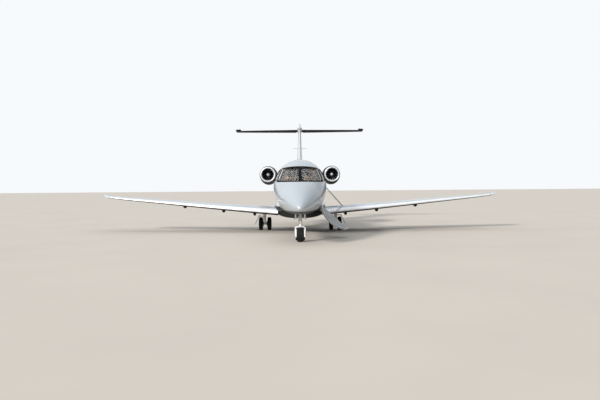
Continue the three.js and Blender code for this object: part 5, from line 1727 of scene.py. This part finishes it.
def main_leg(side, name):
    g = MAIN_GEAR
    x, ay, az = g["x"], station(g["station"]), g["tyre"]
    sy = ay - g["knee"]
    strut = rod("strut", (x, sy, 0.4), (x, sy - 0.042, 0.9), 0.052, 32)
    collars = []
    for k, z in ((0.3, 0.58), (0.6, 0.76)):
        y = sy - k * 0.083
        collars.append(rod("collar", (x, y, z), (x, y - 0.002, z + 0.03), 0.06, 32, 0.004))
    knee = rod("knee", (x - 0.062, sy, 0.4), (x + 0.062, sy, 0.4), 0.05, 32, 0.006)
    arm_line = [(sy - 0.034, 0.372), (ay - 0.01, az - 0.044), (ay + 0.044, az - 0.01)]
    arm_line += [(ay + 0.03, az + 0.046), (sy + 0.02, 0.446)]
    arm = bevel(prism("arm", rounded(arm_line, 0.018), "X", x - 0.048, x + 0.048), 0.008, 3)
    shock = rod("shock", (x, ay - 0.02, az + 0.03), (x, sy + 0.09, 0.7), 0.0255, 24)
    shock_head = rod("head", (x, sy + 0.096, 0.64), (x, sy + 0.08, 0.79), 0.038, 32, 0.006)
    lug = block("lug", (x - 0.022, sy, 0.73), (x + 0.022, sy + 0.09, 0.786), 0.006)
    brace = rod("brace", (x, sy, 0.64), (x - 0.238, sy, 0.9), 0.024, 24, 0.003)
    parts = [dress(p, GEAR_PAINT) for p in (strut, *collars, knee, arm, shock_head, lug, brace)]
    parts.append(dress(shock, CHROME))
    for rise in (-0.03, 0.03):
        start, end = (x, sy + 0.01, 0.64 + rise), (x + 0.255, sy + 0.048, 0.619 + rise)
        parts.append(dress(rod("door_rod", start, end, 0.011, 12), STEEL))
    for k in (-1, 1):
        disc = turned("brake", [(k * a, r) for a, r in BRAKE], (x, ay, az), "X", 40)
        parts.append(dress(disc, DARK_METAL))
    line = [(x + 0.03, sy - 0.05, 0.88), (x + 0.062, sy - 0.03, 0.74), (x + 0.065, sy + 0.02, 0.52)]
    line += [(x + 0.06, ay - 0.06, 0.36)]
    parts.append(dress(pipe("pipe", line, GEAR_PIPE), STEEL))
    leg = join(f"main_leg_{name}", *parts)
    if side < 0:
        flip(leg)
    hang(leg, "airframe", f"main_leg_{name}")


def main_gear():
    g = MAIN_GEAR
    ay = station(g["station"])
    for side, name in SIDES:
        main_leg(side, name)
        bottom, top, thick = MAIN_DOOR["bottom"], MAIN_DOOR["top"], MAIN_DOOR["thickness"]
        low, high = main_door_edge(bottom), main_door_edge(top)
        outline = [(high, top), (high + thick, top), (low + thick, bottom), (low, bottom)]
        outline = [(side * x, z) for x, z in outline]
        door = bevel(prism(f"main_gear_door_{name}", outline, "Y", ay - 0.33, ay + 0.21), 0.004)
        dress(door, PLAIN_PAINT)
        hang(door, "airframe", f"main_gear_door_{name}")
        body = f"wheels_{name}"
        centre = Vector((side * g["x"], ay, g["tyre"]))
        rims = [
            wheel("rim", centre + ACROSS * (k * g["spacing"]), g["half"], g["bore"], g["hub"], 10)
            for k in (-1, 1)
        ]
        reach = ACROSS * g["axle"]
        shaft = rod("shaft", centre - reach, centre + reach, 0.028, 32, 0.004)
        hang(join(f"main_wheels_{name}", *rims, dress(shaft, STEEL)), body, f"main_wheels_{name}")
        for k, which in ((side, "outer"), (-side, "inner")):
            node_name = f"main_tyre_{name}_{which}"
            at = centre + ACROSS * (k * g["spacing"])
            hang(tyre(node_name, at, g["half"], g["tyre"], g["bore"], (0.03, 0.0, -0.03)), body, node_name)


# Airstair and cargo door

STAIR_EDGES = (COCKPIT_END + CLEAR, STAIR_DOOR_END - CLEAR)
STAIR_SIDES = [
    {
        "cheek": sorted((edge + k * 0.057, edge + k * 0.077)),
        "post": edge + k * 0.042,
        "rail": edge + k * 0.018,
        "k": k,
    }
    for k, edge in zip((1, -1), STAIR_EDGES)
]


def door_skin(name, depth, first, last):
    shell = side_of(barrel_shell(name, depth), 1)
    return stations(below(above(shell, FLOOR + CLEAR), EAVES - CLEAR), first, last)


def stair_door(hinge):
    """The door with its edge seals, side plates, treads and hinge eyes, swung down."""
    skin = door_skin("airstair", STAIR["skin"], *STAIR_EDGES)
    dress(skin, PLAIN_PAINT)
    line_inside(skin, STAIR_PAINT)
    dress_faces(skin, STAIR_RIM, lambda face: abs(face.normal.y) > 0.9)
    first, last = STAIR_EDGES
    strips = door_skin("strips", 0.034, first - 0.0015, last + 0.0015)
    carve(strips, hull("tool", COCKPIT_END - 0.01, STAIR_DOOR_END + 0.01, 0.014), "INTERSECT")
    carve(strips, block("tool", (0, station(first) + 0.001, 0), (FAR, station(last) - 0.001, FAR)))
    parts = [skin, dress(strips, SEAL)]
    for side in STAIR_SIDES:
        first, last = side["cheek"]
        cheek = hull("cheek", COCKPIT_END, STAIR_DOOR_END, STAIR["skin"] - 0.005)
        low, high = (STAIR["chord"], station(first), FLOOR + 0.045), (FAR, station(last), EAVES - 0.06)
        parts.append(dress(bevel(within(cheek, low, high), 0.004), STAIR_PAINT))
    shut = join("airstair", *parts)
    turn(shut, STAIR["swing"], "Y", hinge)
    a, b = STAIR_SIDES[0]["cheek"][1], STAIR_SIDES[1]["cheek"][0]
    treads = []
    for n in range(1, STAIR_TREADS + 1):
        x0 = STAIR["x"] + STAIR["run"] * (n - 1) + 0.04
        x1 = STAIR["x"] + STAIR["run"] * n + 0.045
        z = STAIR["z"] - STAIR["rise"] * n
        low, high = (x0, station(a), z - 0.026), (x1, station(b), z)
        treads.append(dress(block("tread", low, high, 0.005), STAIR_PAINT))
        low, high = (x0 + 0.02, station(a) + 0.03, z - 0.001), (x1 - 0.02, station(b) - 0.03, z + 0.0015)
        treads.append(dress(block("grip", low, high), TREAD_GRIP))
        low, high = (x1 - 0.018, station(a) + 0.01, z - 0.001), (x1 + 0.002, station(b) - 0.01, z + 0.003)
        treads.append(dress(block("nosing", low, high, 0.001), STEEL))
    for s in STAIR_HINGES:
        knuckle = (hinge[0], station(s) - 0.0145, hinge[2]), (hinge[0], station(s) + 0.0145, hinge[2])
        treads.append(dress(rod("knuckle", *knuckle, 0.017, 24, 0.002), STAIR_PAINT))
    hang(join("airstair", shut, *treads), "airstair", "airstair")


def stair_rails(hinge):
    """A post and a handrail at each side of the open door."""
    for side, name in zip(STAIR_SIDES, ("front", "rear")):
        y, rail_y = station(side["post"]), station(side["rail"])
        (fx, fz), (hx, hz) = STAIR_POST["foot"], STAIR_POST["head"]
        ex, ez = STAIR_RAIL_END
        foot, head = Vector((hinge[0] + fx, y, hinge[2] + fz)), Vector((hinge[0] + hx, y, hinge[2] + hz))
        knee, end = Vector((head.x, rail_y, head.z)), Vector((hinge[0] + ex, rail_y, hinge[2] + ez))
        for kind, start, stop, last_eye in (("post", foot, head, 0.016), ("rail", knee, end, 0.012)):
            parts = [rod(kind, start, stop, RAIL_RADIUS, 16)]
            for at, radius in ((start, 0.016), (stop, last_eye)):
                parts.append(rod("eye", at - BACK * RAIL_RADIUS, at + BACK * RAIL_RADIUS, radius, 24, 0.003))
            whole = dress(join(f"stair_{kind}_{name}", *parts), RAIL_METAL)
            hang(whole, f"stair_{kind}s", f"stair_{kind}_{name}")


def airstair():
    hinge = (STAIR["x"], 0, STAIR["z"])
    stair_door(hinge)
    stair_rails(hinge)


def cargo_door():
    door = door_skin("cargo_door", CARGO_DOOR_SKIN, CARGO_DOOR_START + CLEAR, CABIN_END - CLEAR)
    dress(door, HULL_PAINT)
    line_inside(door, TRIM)
    hang(door, "cargo_door", "cargo_door")


# Doorways and small parts outside


def on_skin(s, z, side, depth=0.0):
    _, bottom, top, widest, half, power = hull_row(s)
    rise = top - widest if z > widest else widest - bottom
    share = (1 - min(0.999, abs(z - widest) / rise) ** power) ** (1 / power)
    return Vector((side * (half * share - depth), station(s), z))


def doorways():
    """Seals inside both doorways, a sill and the hinges' fixed halves."""
    rest = side_of(layer(COCKPIT_END, CABIN_END, 0.064, WALL), 1)
    seals = []
    for first, last in ((COCKPIT_END, STAIR_DOOR_END), (CARGO_DOOR_START, CABIN_END)):
        whole = stations(copy(rest, "seal"), first + TOUCH, last - TOUCH)
        below(above(whole, FLOOR + TOUCH), EAVES - TOUCH)
        low, high = (-FAR, station(first) + 0.022, -FAR), (FAR, station(last) - 0.022, EAVES - 0.03)
        seals.append(dress(carve(whole, block("tool", low, high)), SEAL))
    bpy.data.objects.remove(rest)
    hang(join("door_seals", *seals), "airframe")
    first, last = station(COCKPIT_END) + 0.03, station(STAIR_DOOR_END) - 0.03
    sill = block("sill", (0.56, first, FLOOR - 0.001), (0.672, last, FLOOR + 0.003), 0.001)
    parts = [dress(sill, STEEL)]
    for places, (x, z), body_x in (
        (STAIR_HINGES, (STAIR["x"], STAIR["z"]), 0.66),
        (CARGO_HINGES, CARGO_HINGE, 0.69),
    ):
        for s in places:
            for k in (-1, 1):
                y = station(s) + k * 0.024
                lug = rod("lug", (x, y - 0.007, z), (x, y + 0.007, z), 0.015, 24, 0.002)
                parts.append(dress(lug, STEEL))
                foot = (body_x, y - 0.006, z - 0.012), (x, y + 0.006, z + 0.008)
                parts.append(dress(block("arm", *foot, 0.002), STEEL))
    hang(join("door_fittings", *parts), "airframe")


# station, height and direction of what stands on the skin
AERIALS = [(4.9, 2.82, 1), (7.9, 2.82, 1), (4.7, 0.9, -1)]
BEACONS = [("upper_beacon", 6.6, 2.82, 1), ("lower_beacon", 7.6, 0.555, -1)]
PROBES = [(1.25, 1.5), (1.38, 1.38)]
BEACON_BASE = [(-0.03, 0.0), (-0.03, 0.07), (0.006, 0.07), (0.012, 0.055), (0.012, 0.0)]
BEACON_DOME = [(0.013, 0.0), (0.013, 0.048), (0.03, 0.046), (0.05, 0.034), (0.058, 0.018), (0.06, 0.0)]
WING_LIGHT = [(-0.014, 0.0), (-0.01, 0.014), (0.01, 0.024), (0.05, 0.028), (0.09, 0.02), (0.12, 0.0)]
WING_LIGHT_SPAN = 8.2
TAIL_LIGHT = [(-0.05, 0.0), (-0.05, 0.009), (-0.008, 0.0095), (-0.003, 0.006), (0, 0.0)]
BLADE_AERIAL = [
    # height, chord, sweep
    (-0.03, 0.26, 0),
    (0.01, 0.24, 0.02),
    (0.1, 0.16, 0.08),
    (0.135, 0.12, 0.12),
    (0.14, 0.06, 0.15),
]


def blade_aerial(s, z, up):
    rings = []
    for height, chord, back in BLADE_AERIAL:
        lead = Vector((0, station(s) + back, z + up * height))
        rings.append(whole_ring(Section(lead, chord, 0.11, 0.0, ACROSS)))
    return dress(tube("aerial", rings), PLAIN_PAINT)


def beacon(name, s, z, up, lens):
    for piece_name, profile, look in ((f"{name}_base", BEACON_BASE, STEEL), (name, BEACON_DOME, lens)):
        piece = turned(piece_name, [(up * a, r) for a, r in profile], (0, station(s), z), "Z", 32)
        hang(dress(piece, look), "airframe")


def small_parts():
    hang(join("blade_aerials", *[blade_aerial(*place_at) for place_at in AERIALS]), "airframe")
    for name, *place_at in BEACONS:
        beacon(name, *place_at, RED_LENS)
    probes = []
    for side in (-1, 1):
        for s, z in PROBES:
            foot = on_skin(s, z, side, 0.01)
            out = Vector((side * 0.085, 0, 0))
            line = [foot, foot + out * 0.8, foot + out - BACK * 0.02, foot + out - BACK * 0.16]
            probes.append(dress(pipe("probe", line, 0.007, 12), STEEL))
            plate = rod("plate", foot - out * 0.1, foot + out * 0.2, 0.035, 32, 0.004)
            probes.append(dress(plate, STEEL))
    hang(join("pitot_probes", *probes), "airframe")
    for side, name, lens in ((1, "left", RED_LENS), (-1, "right", GREEN_LENS)):
        light = turned(f"{name}_wing_light", WING_LIGHT, wing_section(WING_LIGHT_SPAN, side).lead, sides=32)
        hang(dress(light, lens), "airframe")
    tail = turned("tail_light", TAIL_LIGHT, (0, station(LENGTH) - 0.001, TAIL_HEIGHT), sides=24)
    hang(dress(tail, LENS), "airframe")


# Inside

SEAT_HALF = 0.205
SEAT_TILT = 10.5
PILOT_SEATS = [(x, 2.48, 1) for x in (-0.35, 0.35)]
CABIN_SEATS = [(x, front, way) for x in (-0.395, 0.395) for front, way in ((5.56, -1), (6.15, 1), (7.35, 1))]
CARPET_TOP = FLOOR + 0.014
PRESSURE = 4
SWELL = 0.02  # the furthest that a point of a pad moves
CLOTH_STEPS = 20
VOXEL = 0.018


def blow_up(pad):
    """Lets cloth swell a closed pad, with no point moving further than a cap."""
    before = [vertex.co.copy() for vertex in pad.data.vertices]
    pick(pad)
    cloth = pad.modifiers.new("cloth", "CLOTH")
    cloth.settings.use_pressure = True
    cloth.settings.uniform_pressure_force = PRESSURE
    cloth.settings.effector_weights.gravity = 0
    for number in range(1, CLOTH_STEPS + 1):
        bpy.context.scene.frame_set(number)
    bpy.ops.object.modifier_apply(modifier=cloth.name)
    bpy.context.scene.frame_set(1)
    for vertex, start in zip(pad.data.vertices, before):
        shift = vertex.co - start
        vertex.co = start + shift * min(1, SWELL / max(shift.length, 1e-9))


def cushion(name, low, high, seams, depth=0.009):
    """An upholstered pad, drawn in along its sewn seams: pairs of an axis and a place on it."""
    pad = block(name, low, high, 0.028, 3)
    modify(pad, "REMESH", mode="VOXEL", voxel_size=VOXEL)
    blow_up(pad)
    modify(pad, "SUBSURF", levels=1, render_levels=1)
    middle = (Vector(low) + Vector(high)) / 2
    for vertex in pad.data.vertices:
        pull = sum(math.exp(-(((vertex.co[axis] - at) / 0.011) ** 2)) for axis, at in seams)
        vertex.co += (middle - vertex.co).normalized() * depth * min(1, pull)
    return dress(pad, LEATHER)


def seat_pads():
    """The pads of one seat, facing forward with its front edge at the origin."""
    half = SEAT_HALF
    x = half - 0.02
    bottom = cushion("bottom", (-x, 0.02, 0.365), (x, 0.44, 0.46), [(0, -0.1), (0, 0.1), (1, 0.3)])
    x = half - 0.025
    back = cushion("back", (-x, -0.035, 0.0), (x, 0.035, 0.37), [(2, 0.12), (2, 0.245)])
    head = cushion("head", (-0.125, -0.025, 0.42), (0.125, 0.03, 0.545), [])
    for pad in (back, head):
        turn(pad, -SEAT_TILT, "X", (0, 0, 0))
        move(pad, (0, 0.515, 0.5))
    return join("seat_pads", bottom, back, head)


def seat_frame():
    """The shell, arms and pedestal of the same seat."""
    half = SEAT_HALF
    outline = [(0.545, 0.34), (0.575, 0.34), (0.69, 1.0), (0.668, 1.07), (0.64, 1.05)]
    outline = rounded(outline, [0.01, 0.01, 0.02, 0.02, 0.01])
    shell = prism("shell", outline, "X", -half + 0.01, half - 0.01)
    tray = block("tray", (-half, 0.02, 0.3), (half, 0.54, 0.345), 0.014, 3)
    parts = [dress(bevel(shell, 0.008), LEATHER), dress(tray, LEATHER)]
    for side in (-1, 1):
        low, high = sorted((side * (half + 0.003), side * (half + 0.063)))
        parts.append(dress(block("arm", (low, 0.1, 0.3), (high, 0.51, 0.6), 0.014, 3), TRIM))
        pad = block("arm_pad", (low - 0.001, 0.092, 0.602), (high + 0.001, 0.52, 0.638), 0.014, 4)
        parts.append(dress(pad, LEATHER))
        low, high = sorted((side * 0.11, side * 0.135))
        parts.append(dress(block("rail", (low, 0.06, 0.016), (high, 0.5, 0.035), 0.004), STEEL))
        x = side * 0.19
        parts.append(dress(rod("belt", (x, 0.4, 0.36), (x, 0.47, 0.36), 0.012, 12), STEEL))
    stem = prism("stem", [(0.1, 0.036), (0.43, 0.036), (0.38, 0.3), (0.14, 0.3)], "X", -0.15, 0.15)
    return join("seat_frame", *parts, dress(bevel(stem, 0.012), PANEL_BLACK))


def seated(template, seats, name):
    """Copies of a seat's piece at each place, turned the way that it faces."""
    made = []
    for x, front, way in seats:
        seat = copy(template, "seat")
        seat.rotation_euler = (0, 0, 0 if way > 0 else math.pi)
        seat.location = (x, station(front), FLOOR)
        made.append(place(seat))
    return join(name, *made)


def carpet(half, first, last):
    panel = block("carpet", (-half, station(first), FLOOR + TOUCH), (half, station(last), CARPET_TOP))
    return dress(carve(panel, hull("tool", COCKPIT_BULKHEAD, CABIN_END, WALL + 0.005), "INTERSECT"), CARPET)


def seats():
    pads, frame_piece = seat_pads(), seat_frame()
    for name, places, half, first, last in (
        ("pilot_seats", PILOT_SEATS, 0.56, 2.53, 3.3),
        ("cabin_seats", CABIN_SEATS, 1, 3.6, 8.7),
    ):
        frames = seated(frame_piece, places, f"{name}_frames")
        whole = join(f"{name}_frames", frames, carpet(half, first, last))
        hang(whole, "airframe", name)
        soft = hang(seated(pads, places, f"{name}_pads"), "airframe", angle=70)
    for template in (pads, frame_piece):
        bpy.data.objects.remove(template)


PANEL_OUTLINE = [(1.56, FLOOR), (1.9, FLOOR), (1.96, 1.5), (2.12, 1.56), (2.09, 1.9), (1.86, 1.945)]
PANEL_OUTLINE += [(1.6, 1.935), (1.56, 1.88)]
SCREEN_PLACES = (-0.42, -0.14, 0.14, 0.42)


def instrument_panel():
    outline = rounded([(station(s), z) for s, z in PANEL_OUTLINE], [0, 0, 0.02, 0.02, 0.03, 0.04, 0.03, 0])
    panel = bevel(prism("instrument_panel", outline, "X", -0.7, 0.7), 0.006)
    carve(panel, hull("tool", COCKPIT_BULKHEAD, COCKPIT_END, WALL + 0.006), "INTERSECT")
    parts = [dress(panel, PANEL_BLACK)]
    desk = [(1.88, FLOOR + TOUCH), (2.52, FLOOR + TOUCH), (2.52, 1.46), (2.3, 1.54), (1.96, 1.56)]
    pedestal = prism("pedestal", [(station(s), z) for s, z in desk], "X", -0.13, 0.13)
    parts.append(dress(bevel(pedestal, 0.012), PANEL_BLACK))
    for x in SCREEN_PLACES:
        bezel = block("bezel", (x - 0.132, 0, -0.105), (x + 0.132, 0.012, 0.105), 0.004)
        screen = block("screen", (x - 0.12, 0.0115, -0.093), (x + 0.12, 0.0135, 0.093))
        for piece, look in ((bezel, DARK_METAL), (screen, SCREEN)):
            turn(piece, 5, "X", (0, 0, 0))
            parts.append(dress(move(piece, (0, station(2.1), 1.75)), look))
    for x in (-0.035, 0.035):
        line = [(x, station(2.2), 1.53), (x, station(2.18), 1.6), (x, station(2.19), 1.66)]
        parts.append(dress(pipe("lever", line, 0.008, 10), STEEL))
        low, high = (x - 0.022, station(2.175), 1.645), (x + 0.022, station(2.205), 1.68)
        parts.append(dress(block("grip", low, high, 0.008, 3), PANEL_BLACK))
    keys = block("keys", (-0.1, station(2.34), 1.508), (0.1, station(2.48), 1.52), 0.003)
    parts.append(dress(keys, SCREEN))
    for side in (-1, 1):
        x = side * 0.35
        stem = [(x, station(2.08), 1.6), (x, station(2.2), 1.61), (x, station(2.26), 1.63)]
        parts.append(dress(pipe("column", stem, 0.016, 12), PANEL_BLACK))
        wheel_line = [(-0.13, 2.27, 1.74), (-0.13, 2.265, 1.64), (0, 2.26, 1.61)]
        wheel_line += [(0.13, 2.265, 1.64), (0.13, 2.27, 1.74)]
        wheel_line = [(x + across, station(s), z) for across, s, z in wheel_line]
        parts.append(dress(pipe("yoke", wheel_line, 0.014, 10), PANEL_BLACK))
    hang(join("instrument_panel", *parts), "airframe", "instrument_panel")


camera()
floor()
sun()
soft_room()
nose_cone()
cockpit_floor_pan()
cockpit_shell()
cockpit_glass()
side_panels()
roof_panel()
cabin_floor_pan()
cabin_windows()
aft_fuselage()
belly_fairing()
wings()
fin()
rudder()
tailplane()
tail_bullet()
elevators()
engines()
nose_gear()
nose_doors()
main_gear()
airstair()
cargo_door()
doorways()
small_parts()
seats()
instrument_panel()
